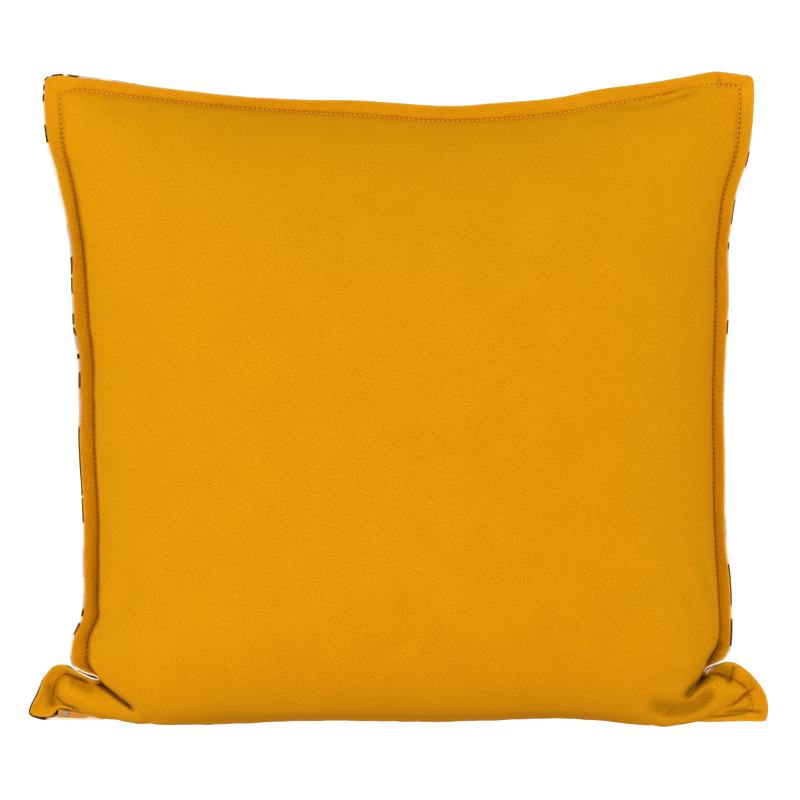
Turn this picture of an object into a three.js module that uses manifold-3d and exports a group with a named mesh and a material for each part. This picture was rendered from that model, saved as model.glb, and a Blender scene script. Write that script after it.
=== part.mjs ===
// A filled square cushion cover, 45 x 45 cm, lying on its back with the plain face up.
// Its two panels are joined at the turned edge and topstitched one centimetre in, which leaves a flat
// double flange round the filled body. Both lower corners are folded over, and the lower flange is tucked
// under the body. A zip in the lower seam shows at the lower left corner.
// Millimetres, +Z up, +Y towards the upper edge. The origin is under the middle, on the resting face.

import * as THREE from "three";
import { mergeVertices } from "three/addons/utils/BufferGeometryUtils.js";
import Module from "manifold-3d";

const wasm = await Module();
wasm.setup();

// Driving sizes
const clothThickness = 1.3;
const layerGap = 0.3;
const flangeWidth = 10.3;
const flangeRoot = 2.5; // how far a flange layer reaches in past the stitches
const rootFan = 0.15; // spread of the roots that share a corner
const cornerInset = 0.9; // the body stops this short of the stitched corner
const flangeSag = 0.9; // hollow of the flange between its stitches and its lifted edge
const hollowPlace = 0.45; // share of the way from the stitches to the edge where it lies
const edgeLift = { share: 0.8, least: 1.6 }; // lift of an edge whose full width doesn't show from above
const rimHeight = 52; // height of the stitch line above the resting face
const lowerSeamHeight = 47;
const crownRise = 70; // from the stitch line up to the middle of the face
const faceWidth = 392;
const faceHeight = 372;
const sideReach = 190; // how far in from a side the face goes on rising
const topReach = 200;
const lowerReach = 75; // the lower side was stood on, so it is blunter
const facePower = 2.15;
const backReach = 112; // how far in from a side the back meets the resting face
const lowerBackReach = 70;
const lowerBulge = 5.5; // how far the front rolls out over the lower seam
const bulgeEnd = 0.09; // share of the lower seam over which the roll sets in
const bulgeEase = 0.3; // how soon the roll fades going up the face
const bulgeTurn = 1.15; // the roll is deepest a little below half the crown's rise
const seamRise = 0.12; // share of the height over which the lower seam climbs to the rim

const mergeDistance = 0.05;
const gridAcross = 24;
const gridUp = 24;

const mustard = 0xe09a05;
const printGround = 0xcdbfae;
const zipOrange = 0xe8892a;
const zipGrey = 0x9c9a94;

// Rim of the upper side, left to right: the flange's edge and its stitches
const upperRim = [
  { x: -176, edge: 195.7, seam: 186.8 },
  { x: -122, edge: 188.0, seam: 180.1 },
  { x: -60, edge: 183.4, seam: 176.2 },
  { x: 1, edge: 181.3, seam: 172.7 },
  { x: 36, edge: 179.1, seam: 170.2 },
  { x: 95, edge: 184.1, seam: 174.1 },
  { x: 124, edge: 189.9, seam: 179.6 },
  { x: 154, edge: 193.9, seam: 185.0 },
  { x: 178, edge: 197.9, seam: 190.0 },
  { x: 198, edge: 200.6, seam: 192.4 },
];

// Rims of the two upright sides, top to bottom
const leftRim = [
  { y: 180, edge: -217.3, seam: -208.3 },
  { y: 157, edge: -215.0, seam: -205.2 },
  { y: 131, edge: -208.9, seam: -199.1 },
  { y: 89, edge: -200.6, seam: -192.9 },
  { y: 37, edge: -198.2, seam: -188.7 },
  { y: 21, edge: -195.6, seam: -186.8 },
  { y: -25, edge: -196.0, seam: -186.2 },
  { y: -75, edge: -192.9, seam: -183.7 },
  { y: -124, edge: -193.6, seam: -184.4 },
  { y: -133, edge: -193.6, seam: -183.9 },
  { y: -146, edge: -199.8, seam: -189.9 },
  { y: -155, edge: -201.5, seam: -191.3 },
];
const rightRim = [
  { y: 180, edge: 218.7, seam: 209.5 },
  { y: 165, edge: 217.5, seam: 208.3 },
  { y: 147, edge: 214.4, seam: 205.2 },
  { y: 126, edge: 207.7, seam: 198.5 },
  { y: 89, edge: 202.8, seam: 194.2 },
  { y: 40, edge: 202.1, seam: 193.3 },
  { y: 0, edge: 199.8, seam: 192.2 },
  { y: -68, edge: 200.9, seam: 192.9 },
  { y: -111, edge: 204.0, seam: 194.8 },
  { y: -139, edge: 205.3, seam: 196.6 },
  { y: -149, edge: 205.1, seam: 196.3 },
];

// Flange round each upper corner, in the order of travel: edge points round the one stitched corner
const upperLeftTurn = {
  seam: [-209.3, 186.6],
  edges: [[-217.3, 189], [-216.2, 196.6], [-209.5, 199.2]],
};
const upperRightTurn = {
  seam: [209.5, 191.0],
  edges: [[209.5, 198.9], [217.2, 197.2], [218.7, 189]],
};

// Lower left corner, from its tip up round the ear and through the fold to the side flange
const leftEar = [
  { edge: [-219.3, -196.6, 45], seam: [-211.5, -189.5, 45], open: 0.05 },
  { edge: [-225.8, -194.0, 45], seam: [-212.3, -189.0, 44.5], open: 0 },
  { edge: [-226.2, -190.5, 46], seam: [-212.8, -188.0, 44.5], open: 0 },
  { edge: [-221.8, -181.3, 50], seam: [-213.2, -182.0, 44.5], open: 0 },
  { edge: [-217.2, -171.5, 50], seam: [-211.6, -176.2, 44.5], open: 0 },
  { edge: [-211.4, -164.9, 50], seam: [-208.6, -171.9, 45], open: 0 },
  { edge: [-205.2, -163.9, 52], seam: [-204.2, -170.2, 46], open: 0 },
  { edge: [-200.4, -165.6, 55], seam: [-199.6, -170.2, 47], open: 0 },
  { edge: [-193.5, -169.2, 58], seam: [-192.6, -171.4, 48.5], open: 0 },
  { edge: [-186.2, -172.9, 60], seam: [-185.2, -174.6, 50], open: 0 },
  { edge: [-183.6, -172.4, 60.5], seam: [-180.8, -173.8, 51], open: 0 },
  { edge: [-186.5, -169.9, 60], seam: [-184.0, -169.9, 51], open: 0 },
  { edge: [-193.5, -166.4, 59], seam: [-189.6, -165.8, 50.5], open: 0 },
  { edge: [-199.6, -163.6, 57], seam: [-191.4, -161.8, 50.5], open: 0 },
];

// Lower right corner, from the side flange through its fold and round the ear to the tip
const rightEar = [
  { edge: [203.6, -154.2, 56], seam: [194.4, -153.6, 51], open: 0 },
  { edge: [200.2, -160.0, 57], seam: [192.2, -157.6, 51], open: 0 },
  { edge: [193.0, -163.6, 59], seam: [190.0, -161.0, 51], open: 0 },
  { edge: [188.0, -167.6, 60], seam: [185.8, -166.8, 51], open: 0 },
  { edge: [187.6, -169.4, 59.5], seam: [185.4, -171.2, 50], open: 0 },
  { edge: [191.6, -167.4, 57], seam: [190.4, -170.4, 48.5], open: 0 },
  { edge: [198.0, -162.8, 54], seam: [195.4, -169.6, 47], open: 0 },
  { edge: [203.4, -161.7, 51], seam: [200.9, -170.9, 46], open: 0 },
  { edge: [212.6, -166.0, 49], seam: [207.6, -174.2, 45], open: 0 },
  { edge: [220.2, -173.4, 48], seam: [212.6, -178.6, 45], open: 0 },
  { edge: [224.6, -181.3, 48], seam: [216.0, -184.2, 45], open: 0 },
  { edge: [226.7, -189.3, 47], seam: [217.0, -189.0, 45], open: 0 },
  { edge: [226.0, -195.4, 45.5], seam: [216.9, -190.6, 45], open: 0 },
  { edge: [222.5, -197.6, 45], seam: [215.5, -191.4, 45], open: 0 },
];

// Lower edge, right to left: open says how far the front layer is drawn back from the zip
const lowerRun = [
  { edge: [205, -197.8, 44], seam: [206, -192.6, 45.5], open: 0 },
  { edge: [190, -197.8, 42], seam: [191, -193.6, 46], open: 0 },
  { edge: [176, -198.2, 38.5], seam: [175, -194.6, 47], open: 0 },
  { edge: [140, -196.2, 37], seam: [140, -194.4, 47], open: 0 },
  { edge: [90, -194.4, 37], seam: [90, -192.4, 47], open: 0 },
  { edge: [40, -194.6, 37], seam: [40, -192.6, 47], open: 0 },
  { edge: [-20, -195.4, 37], seam: [-20, -193.4, 47], open: 0 },
  { edge: [-80, -196.4, 37], seam: [-80, -194.2, 47], open: 0 },
  { edge: [-130, -196.8, 37.5], seam: [-130, -194.6, 47], open: 0 },
  { edge: [-160, -197.4, 38.5], seam: [-158, -194.2, 47], open: 0 },
  { edge: [-176, -197.0, 42], seam: [-174, -192.4, 46], open: 0.1 },
  { edge: [-187, -196.8, 44], seam: [-187, -190.0, 45.5], open: 0.5 },
  { edge: [-198, -197.2, 45], seam: [-198, -187.6, 45.5], open: 0.75 },
  { edge: [-207, -197.3, 45], seam: [-206, -186.6, 45.5], open: 0.82 },
  { edge: [-213, -197.1, 45], seam: [-209.5, -188.4, 45], open: 0.3 },
];

// The body's own outline where the folded corners pass under it, and along the lower seam
const leftLip = [[-172.1, -181.3], [-181.0, -173.4], [-187.6, -168.0], [-191.2, -161.4]];
const rightLip = [[181.3, -175.2], [186.6, -168.0], [191.4, -161.2], [194.4, -154.2]];
const lowerSeam = [
  [-172.1, -181.3], [-160.5, -190.0], [-148, -193.4], [-122, -194.4], [-59, -193.4], [1, -193.2],
  [47, -192.2], [87, -192.2], [124, -193.2], [152, -195.0], [166, -192.0], [175.6, -184.6], [181.3, -175.2],
];

// Puffed lobe of each folded corner, tip to root: both feet of each section and its crest in plan,
// and their heights in the order upper foot, crest, lower foot
const leftLobe = [
  { upper: [-209.4, -172.5], crest: [-210.6, -179.0], lower: [-210.8, -187.0], heights: [45, 46.5, 45] },
  { upper: [-203.5, -169.8], crest: [-205.0, -177.0], lower: [-206.5, -187.2], heights: [46, 53, 45.5] },
  { upper: [-193.5, -171.2], crest: [-196.5, -180.2], lower: [-198.5, -189.6], heights: [48, 56.5, 46] },
  { upper: [-181.0, -173.6], crest: [-186.0, -184.6], lower: [-187.5, -193.2], heights: [50, 58.5, 46.5] },
  { upper: [-169.5, -181.5], crest: [-175.0, -189.0], lower: [-176.5, -196.2], heights: [53, 62, 48] },
  { upper: [-156.5, -185.5], crest: [-162.0, -191.0], lower: [-165.0, -198.2], heights: [60, 66, 51] },
  { upper: [-143.0, -183.0], crest: [-148.0, -187.5], lower: [-150.0, -192.5], heights: [60, 62, 53] },
];
const rightLobe = [
  { upper: [210.0, -176.6], crest: [213.0, -182.6], lower: [215.6, -189.8], heights: [45, 46.5, 45] },
  { upper: [203.0, -172.6], crest: [206.0, -180.0], lower: [209.5, -191.0], heights: [46, 53, 45.5] },
  { upper: [194.5, -169.8], crest: [197.5, -179.6], lower: [201.0, -192.6], heights: [48, 57.5, 46] },
  { upper: [186.2, -170.8], crest: [189.0, -183.0], lower: [192.0, -194.6], heights: [50, 59, 47] },
  { upper: [179.4, -177.6], crest: [181.0, -188.0], lower: [184.0, -197.2], heights: [53, 62.5, 49] },
  { upper: [173.0, -185.0], crest: [173.0, -192.0], lower: [175.0, -199.4], heights: [59, 66, 51] },
  { upper: [161.0, -187.0], crest: [162.0, -193.0], lower: [164.0, -200.7], heights: [62, 67, 53] },
  { upper: [147.0, -183.0], crest: [147.0, -187.5], lower: [149.0, -192.5], heights: [60, 63, 54] },
];

const lobeRoundness = 0.8;
const lobeFloorHeight = 46;
const lobeOverlap = 0.6; // the lobe's underside before its back is cut clear of it
const lobeBackDrop = 0.45;
const lobeBackRows = 6; // the lobe's own back ends where the body covers it

// Zip where the lower left corner opens: its tape between the front's lip and the lower edge
const zipRun = [
  { x: -207.9, upper: -191.9, lower: -196.3, ridge: 0 },
  { x: -205.4, upper: -189.6, lower: -196.3, ridge: 0 },
  { x: -202.4, upper: -189.9, lower: -196.3, ridge: 0 },
  { x: -201.6, upper: -190.1, lower: -196.3, ridge: 1 },
  { x: -194.0, upper: -192.1, lower: -196.3, ridge: 1 },
  { x: -186.0, upper: -194.8, lower: -196.3, ridge: 0.8 },
];
const tapeThickness = 1.0;
const coilRidges = 3;
const coilRidgeRise = 0.7;
const zipFloor = 45.7;
const stopSize = { x: 2.8, y: 3.9, z: 1.3 };
const stopPlace = { x: -204.0, y: -193.1 };

// The whole cover moved so that its middle is over the origin
const middleShift = { x: -0.3, y: -0.35 };

function vector([x, y, z = 0]) {
  return new THREE.Vector3(x, y, z);
}

function curveThrough(points) {
  return new THREE.CatmullRomCurve3(points.map(vector), false, "centripetal");
}

// A closed geometry as a manifold solid
function solid(geometry) {
  const bare = geometry.clone();
  bare.deleteAttribute("normal");
  bare.deleteAttribute("uv");
  const merged = mergeVertices(bare, 1e-3);
  return new wasm.Manifold(
    new wasm.Mesh({
      numProp: 3,
      vertProperties: merged.attributes.position.array,
      triVerts: new Uint32Array(merged.index.array),
    }),
  );
}

// The main body of a cut solid, without the crumbs that a cut can leave hanging by a corner
function mainBody(manifold) {
  const bodies = solid(geometryOf(manifold.simplify(mergeDistance / 10))).decompose();
  return bodies.reduce((most, body) => (body.volume() > most.volume() ? body : most));
}

function geometryOf(manifold) {
  const mesh = manifold.getMesh();
  const positions = new Float32Array(mesh.numVert * 3);
  for (let i = 0; i < mesh.numVert; i += 1) {
    const from = i * mesh.numProp;
    positions.set(mesh.vertProperties.subarray(from, from + 3), i * 3);
  }
  const geometry = new THREE.BufferGeometry();
  geometry.setAttribute("position", new THREE.BufferAttribute(positions, 3));
  geometry.setIndex(new THREE.BufferAttribute(mesh.triVerts, 1));
  geometry.computeVertexNormals();
  return geometry;
}

// A closed solid between two grids of points that share their rows and columns, upper above lower
function gridSolid(upper, lower) {
  const rows = upper.length;
  const columns = upper[0].length;
  const positions = [...upper.flat(), ...lower.flat()].flatMap((p) => [p.x, p.y, p.z]);
  const index = [];
  const at = (layer, row, column) => layer * rows * columns + row * columns + column;
  const quad = (a, b, c, d) => index.push(a, b, c, a, c, d);
  for (let r = 0; r + 1 < rows; r += 1) {
    for (let c = 0; c + 1 < columns; c += 1) {
      quad(at(0, r, c), at(0, r, c + 1), at(0, r + 1, c + 1), at(0, r + 1, c));
      quad(at(1, r, c), at(1, r + 1, c), at(1, r + 1, c + 1), at(1, r, c + 1));
    }
  }
  for (let c = 0; c + 1 < columns; c += 1) {
    quad(at(1, 0, c), at(1, 0, c + 1), at(0, 0, c + 1), at(0, 0, c));
    quad(at(0, rows - 1, c), at(0, rows - 1, c + 1), at(1, rows - 1, c + 1), at(1, rows - 1, c));
  }
  for (let r = 0; r + 1 < rows; r += 1) {
    quad(at(0, r, 0), at(0, r + 1, 0), at(1, r + 1, 0), at(1, r, 0));
    quad(at(1, r, columns - 1), at(1, r + 1, columns - 1), at(0, r + 1, columns - 1), at(0, r, columns - 1));
  }
  const geometry = new THREE.BufferGeometry();
  geometry.setAttribute("position", new THREE.Float32BufferAttribute(positions, 3));
  geometry.setIndex(index);
  return solid(geometry);
}

function gridOf(rows, columns, pointAt) {
  const share = (i, count) => i / (count - 1);
  return Array.from({ length: rows }, (_, r) =>
    Array.from({ length: columns }, (_, c) => pointAt(share(c, columns), share(r, rows))),
  );
}

// Body outline: four curves, read from left to right and from bottom to top
const upperLeft = [upperLeftTurn.seam[0] + cornerInset, upperLeftTurn.seam[1] - cornerInset];
const upperRight = [upperRightTurn.seam[0] - cornerInset, upperRightTurn.seam[1] - cornerInset];
const bodyLeft = curveThrough([
  ...leftLip,
  ...leftRim.toReversed().map((row) => [row.seam, row.y]),
  upperLeft,
]);
const bodyRight = curveThrough([
  ...rightLip,
  ...rightRim.toReversed().map((row) => [row.seam, row.y]),
  upperRight,
]);
const bodyUpper = curveThrough([upperLeft, ...upperRim.map((row) => [row.x, row.seam]), upperRight]);
const bodyLower = curveThrough(lowerSeam);

// The body's plan: the four outline curves blended across it
function planPoint(u, v) {
  const point = new THREE.Vector3();
  point.addScaledVector(bodyLower.getPointAt(u), 1 - v);
  point.addScaledVector(bodyUpper.getPointAt(u), v);
  point.addScaledVector(bodyLeft.getPointAt(v), 1 - u);
  point.addScaledVector(bodyRight.getPointAt(v), u);
  point.addScaledVector(vector(lowerSeam[0]), -(1 - u) * (1 - v));
  point.addScaledVector(vector(lowerSeam.at(-1)), -u * (1 - v));
  point.addScaledVector(vector(upperLeft), -(1 - u) * v);
  point.addScaledVector(vector(upperRight), -u * v);
  return point;
}

// How full a surface is at a distance from one side: 0 on the rim, 1 from its reach inwards
function fullness(distance, reach, power) {
  const inward = Math.min(distance / reach, 1);
  return (1 - (1 - inward) ** power) ** (1 / power);
}

function spread(u, v, reach, upperReach, lowReach) {
  return (
    fullness(u * faceWidth, reach, facePower) *
    fullness((1 - u) * faceWidth, reach, facePower) *
    fullness((1 - v) * faceHeight, upperReach, facePower) *
    fullness(v * faceHeight, lowReach, facePower)
  );
}

function seamHeight(v) {
  return THREE.MathUtils.lerp(lowerSeamHeight, rimHeight, THREE.MathUtils.smoothstep(v, 0, seamRise));
}

function facePoint(u, v) {
  const point = planPoint(u, v);
  const full = spread(u, v, sideReach, topReach, lowerReach);
  const middle = Math.min(1, u / bulgeEnd, (1 - u) / bulgeEnd);
  const near = 1 - Math.min(1, (v * faceHeight) / lowerReach);
  const roll = fullness(v * faceHeight, lowerReach, facePower);
  point.y -= lowerBulge * middle * near ** bulgeEase * Math.sin(Math.PI * Math.min(1, roll * bulgeTurn));
  const seam = seamHeight(v);
  point.z = seam + layerGap / 2 + clothThickness + (rimHeight + crownRise - seam) * full;
  return point;
}

function backPoint(u, v) {
  const point = planPoint(u, v);
  const full = spread(u, v, backReach, backReach, lowerBackReach);
  point.z = (seamHeight(v) - layerGap / 2 - clothThickness) * (1 - full);
  return point;
}

// A point of the back moved into the body, square to the cloth. On the rim it may also run on past it.
function backInside(u, v, depth, onward = 0) {
  const step = 0.004;
  const inner = (share) => THREE.MathUtils.clamp(share, step, 1 - step);
  const along = backPoint(Math.min(u + step, 1), v).sub(backPoint(Math.max(u - step, 0), v));
  const up = backPoint(u, Math.min(v + step, 1)).sub(backPoint(u, Math.max(v - step, 0)));
  const normal = along.cross(up).normalize();
  const point = backPoint(u, v);
  const onRim = u === 0 || u === 1 || v === 0 || v === 1;
  const past = point.clone().sub(backPoint(inner(u), inner(v))).setLength(onRim ? onward : 0);
  return point.addScaledVector(normal, depth).add(past);
}

// Grid shares that crowd towards the rim, where the cloth turns fastest
function crowded(share) {
  return (1 - Math.cos(Math.PI * share)) / 2;
}

function bodyGrid(pointAt) {
  return gridOf(gridUp, gridAcross, (u, v) => pointAt(crowded(u), crowded(v)));
}

// Stations round the flange: where its stitches run and where its edge is
function liftedEdge(seam, edge) {
  const shown = Math.min(seam.distanceTo(edge), flangeWidth);
  const hidden = Math.sqrt(flangeWidth ** 2 - shown ** 2);
  return edge.setZ(seam.z + Math.max(hidden * edgeLift.share, edgeLift.least));
}

function sideStation(seamX, seamY, edgeX, edgeY) {
  const seam = new THREE.Vector3(seamX, seamY, rimHeight);
  return { seam, edge: liftedEdge(seam, new THREE.Vector3(edgeX, edgeY, rimHeight)), open: 0 };
}

// Round a corner all stations share one stitch and nearly one root, which is mitred into the body
function turnStations(turn) {
  const [x, y] = turn.seam;
  const root = vector([x - Math.sign(x) * flangeRoot, y - flangeRoot, rimHeight]);
  return turn.edges.map((edge) => ({ ...sideStation(x, y, ...edge), root }));
}

function tableStations(rows) {
  return rows.map((row) => ({ seam: vector(row.seam), edge: vector(row.edge), open: row.open }));
}

const flangeStations = [
  ...tableStations(leftEar),
  ...leftRim.toReversed().map((row) => sideStation(row.seam, row.y, row.edge, row.y)),
  ...turnStations(upperLeftTurn),
  ...upperRim.map((row) => sideStation(row.x, row.seam, row.x, row.edge)),
  ...turnStations(upperRightTurn),
  ...rightRim.map((row) => sideStation(row.seam, row.y, row.edge, row.y)),
  ...tableStations(rightEar),
  ...tableStations(lowerRun),
];

function flangeNormal(before, here, after) {
  const middle = (station) => station.seam.clone().add(station.edge);
  const travel = middle(after).sub(middle(before));
  return travel.cross(here.edge.clone().sub(here.seam)).normalize();
}

// A closed ring through sections of equal length, each one a closed loop of points
function ringSolid(sections) {
  const size = sections[0].length;
  const positions = sections.flat().flatMap((p) => [p.x, p.y, p.z]);
  const index = [];
  sections.forEach((_, s) => {
    const here = s * size;
    const next = ((s + 1) % sections.length) * size;
    for (let i = 0; i < size; i += 1) {
      const j = (i + 1) % size;
      index.push(here + i, here + j, next + j, here + i, next + j, next + i);
    }
  });
  const geometry = new THREE.BufferGeometry();
  geometry.setAttribute("position", new THREE.Float32BufferAttribute(positions, 3));
  geometry.setIndex(index);
  return solid(geometry);
}

function rootPoint(station, outward, grow) {
  if (!station.root) return station.seam.clone().addScaledVector(outward, -flangeRoot - grow);
  const inward = station.root.clone().sub(station.seam).setLength(grow);
  return station.root.clone().addScaledVector(outward, rootFan).add(inward);
}

// One layer of the flange, from the height low to the height high above its mid plane
function flangeLayer(low, high, drawnBack, grow = 0) {
  const count = flangeStations.length;
  const sections = flangeStations.map((here, i) => {
    const before = flangeStations[(i + count - 1) % count];
    const after = flangeStations[(i + 1) % count];
    const normal = flangeNormal(before, here, after);
    const outward = here.edge.clone().sub(here.seam).normalize();
    const root = rootPoint(here, outward, grow);
    const edge = here.edge.clone().lerp(here.seam, drawnBack ? here.open : 0);
    const hollow = here.seam.clone().lerp(edge, hollowPlace).addScaledVector(normal, -flangeSag);
    edge.addScaledVector(outward, grow);
    const line = [root, hollow, edge];
    const lower = line.map((p) => p.clone().addScaledVector(normal, low));
    const upper = line.map((p) => p.clone().addScaledVector(normal, high));
    return [...lower, ...upper.toReversed()];
  });
  return ringSolid(sections);
}

// Folded corner: a puffed lobe over its own flat back
function lobeHeight(section, share) {
  const [foot, top, sole] = section.heights;
  const base = THREE.MathUtils.lerp(foot, sole, share);
  const middle = (foot + sole) / 2;
  return base + (top - middle) * Math.sin(Math.PI * share) ** lobeRoundness;
}

function lobeFloor(section) {
  return Math.min(lobeFloorHeight, section.heights[2]);
}

// Sections of a lobe, widened by grow on both sides and at both ends
function lobeSurface(sections, heightAt, grow = 0) {
  const across = 8;
  return sections.map((section, s) => {
    const [upper, crest, lower] = [section.upper, section.crest, section.lower].map(vector);
    const control = crest.clone().multiplyScalar(2).sub(upper.clone().add(lower).multiplyScalar(0.5));
    const arc = new THREE.QuadraticBezierCurve3(upper, control, lower);
    const inner = sections[THREE.MathUtils.clamp(s, 1, sections.length - 2)];
    const past = crest.clone().sub(vector(inner.crest)).setLength(grow);
    const margin = grow / upper.distanceTo(lower);
    return Array.from({ length: across + 1 }, (_, i) => {
      const share = i / across;
      const place = THREE.MathUtils.lerp(-margin, 1 + margin, share);
      return arc.getPoint(place).add(past).setZ(heightAt(section, share));
    });
  });
}

function lobeBetween(sections, mirrored, topAt, soleAt, grow = 0) {
  const surfaces = [topAt, soleAt].map((heightAt) => lobeSurface(sections, heightAt, grow));
  const [upper, lower] = mirrored ? surfaces.map((surface) => surface.toReversed()) : surfaces;
  return gridSolid(upper, lower);
}

function lobe(sections, mirrored) {
  return lobeBetween(sections, mirrored, lobeHeight, (section) => lobeFloor(section) - lobeOverlap);
}

function lobeBack(sections, mirrored, grow) {
  const upperSide = (section) => lobeFloor(section) - lobeBackDrop + grow;
  const lowerSide = (section) => lobeFloor(section) - lobeBackDrop - clothThickness - grow;
  return lobeBetween(sections, mirrored, upperSide, lowerSide, grow);
}

function backPanel(grow) {
  const sheet = gridSolid(
    bodyGrid((u, v) => backInside(u, v, clothThickness + grow, grow)),
    bodyGrid((u, v) => backInside(u, v, -grow, grow)),
  );
  const half = layerGap / 2;
  return wasm.Manifold.union([
    sheet,
    flangeLayer(-half - clothThickness - grow, -half + grow, false, grow),
    lobeBack(leftLobe.slice(0, lobeBackRows), false, grow),
    lobeBack(rightLobe.slice(0, lobeBackRows), true, grow),
  ]).simplify(mergeDistance);
}

function frontCushion() {
  const body = gridSolid(bodyGrid(facePoint), bodyGrid((u, v) => backInside(u, v, clothThickness / 2)));
  const half = layerGap / 2;
  const whole = wasm.Manifold.union([
    body,
    flangeLayer(half, half + clothThickness, true),
    lobe(leftLobe, false),
    lobe(rightLobe, true),
  ]);
  const clear = [layerGap, layerGap / 2, 0].map((grow) => backPanel(grow));
  return mainBody(whole.simplify(mergeDistance).subtract(wasm.Manifold.union(clear)));
}

// Tape with the closed coil on it as low ridges along its run
function zipTape() {
  const across = coilRidges * 4 + 1;
  const pointAt = (row, share, rise) =>
    new THREE.Vector3(row.x, THREE.MathUtils.lerp(row.lower, row.upper, share), zipFloor + rise);
  const ridge = (share) => Math.sin(Math.PI * coilRidges * share) ** 2;
  const grid = (riseAt) =>
    Array.from({ length: across }, (_, i) => {
      const share = i / (across - 1);
      return zipRun.map((row) => pointAt(row, share, riseAt(row, share)));
    });
  const upper = grid((row, share) => tapeThickness + coilRidgeRise * row.ridge * ridge(share));
  return gridSolid(upper, grid(() => 0));
}

function zipStop() {
  const box = new THREE.BoxGeometry(stopSize.x, stopSize.y, stopSize.z);
  const bottom = zipFloor + tapeThickness + layerGap;
  return solid(box.translate(stopPlace.x, stopPlace.y, bottom + stopSize.z / 2));
}

function named(name, manifold, color, roughness, metalness) {
  const material = new THREE.MeshStandardMaterial({ color, roughness, metalness });
  const centred = manifold.translate([middleShift.x, middleShift.y, 0]);
  const mesh = new THREE.Mesh(geometryOf(centred), material);
  mesh.name = name;
  return mesh;
}

const cushionCover = new THREE.Group();
cushionCover.add(
  named("front_cushion", frontCushion(), mustard, 0.9, 0),
  named("back_panel", mainBody(backPanel(0)), printGround, 0.9, 0),
  named("zip_tape", zipTape(), zipOrange, 0.7, 0),
  named("zip_stop", zipStop(), zipGrey, 0.35, 1),
);

export default cushionCover;
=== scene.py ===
# Looks of a filled square cushion cover that lies on its back, plain face up.
# Tables are in millimetres in the CAD frame, as they show from the camera; meshes are made in metres.
import math

import bpy
import numpy as np
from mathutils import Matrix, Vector, noise
from mathutils.bvhtree import BVHTree


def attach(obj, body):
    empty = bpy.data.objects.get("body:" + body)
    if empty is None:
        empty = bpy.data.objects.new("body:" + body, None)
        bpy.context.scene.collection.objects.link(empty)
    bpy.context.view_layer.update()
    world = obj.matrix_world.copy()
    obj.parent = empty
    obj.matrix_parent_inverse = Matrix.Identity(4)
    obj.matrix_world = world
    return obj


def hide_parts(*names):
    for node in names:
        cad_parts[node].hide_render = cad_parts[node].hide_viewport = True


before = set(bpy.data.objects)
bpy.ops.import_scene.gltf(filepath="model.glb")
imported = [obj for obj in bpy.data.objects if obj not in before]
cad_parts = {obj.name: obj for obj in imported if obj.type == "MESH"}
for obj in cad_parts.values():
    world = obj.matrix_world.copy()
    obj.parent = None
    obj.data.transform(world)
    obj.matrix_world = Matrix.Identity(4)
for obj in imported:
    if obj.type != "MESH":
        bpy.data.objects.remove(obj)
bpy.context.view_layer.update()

MM = 0.001
MIDDLE_SHIFT = np.array([-0.3, -0.35, 0.0])  # the CAD part is moved by this to stand over its origin

# Camera
PICTURE = 800
PIXEL = 0.6135  # millimetres of the rim plane in one pixel
RIM = 52.0  # height of the stitch line
CAMERA_RISE = 2200.0  # above the rim plane
AXIS_PIXEL = 398.5  # the pixel over the tables' origin
SENSOR = 36.0

# Body
LOWER_SEAM = 47.0
CROWN = 70.0
FACE_WIDTH = 392.0
FACE_HEIGHT = 372.0
SIDE_REACH = 190.0
TOP_REACH = 200.0
LOWER_REACH = 75.0
FACE_POWER = 2.15
BACK_REACH = 112.0
LOWER_BACK_REACH = 70.0
LOWER_BULGE = 8.5
ROLL_ENDS = (0.075, 0.09)  # shares of the width over which the lower roll dies out at left and right
BACK_CLOTH = 0.9
WALL_INSET = 1.0  # between the stitches and the foot of the filled cloth
SIDE_EASE = 1.0
OVERHANG = 1.8  # of the full cloth over the stitches of the upright sides
# Where it leans out further: how far, the middle of the place along the side and its half width
TOP_LEANS = [(2.4, 176, 17), (1.0, 25, 20)]
LEFT_LEAN = (0.8, 8, 10)
TOP_EASE = 3.0
LOWER_EASE = 0.5
SEAM_LIFT = 0.5  # of both faces from the seam, one step in from it
BACK_EASE = 4.0
FILL_CAP = 6.0  # most that the filling moves the cloth
FILL_STEPS = 20
CLOTH = {
    "quality": 6, "mass": 0.25, "tension_stiffness": 25, "compression_stiffness": 12,
    "shear_stiffness": 6, "bending_stiffness": 0.6, "use_pressure": True, "uniform_pressure_force": 4,
    "vertex_group_mass": "held", "vertex_group_shrink": "spare", "shrink_min": 0.0, "shrink_max": -0.05,
}
FINE_PUCKER = 0.35
WIDE_PUCKER = 0.6
SWELL = 0.8
BODY_ROWS = 84
BODY_COLUMNS = 84
LOBE_WRINKLE = 0.6
LOBE_CRISP = 0.5
LOBE_FLOOR = 42.6
NO_ROOT = (2, 3)  # melting that would set in past the last row, so that there is none
LOBE_BACK_DROP = 3.2
LOBE_BACK_BELLY = 38.6
BACK_RIM_DROP = 1.1

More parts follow.
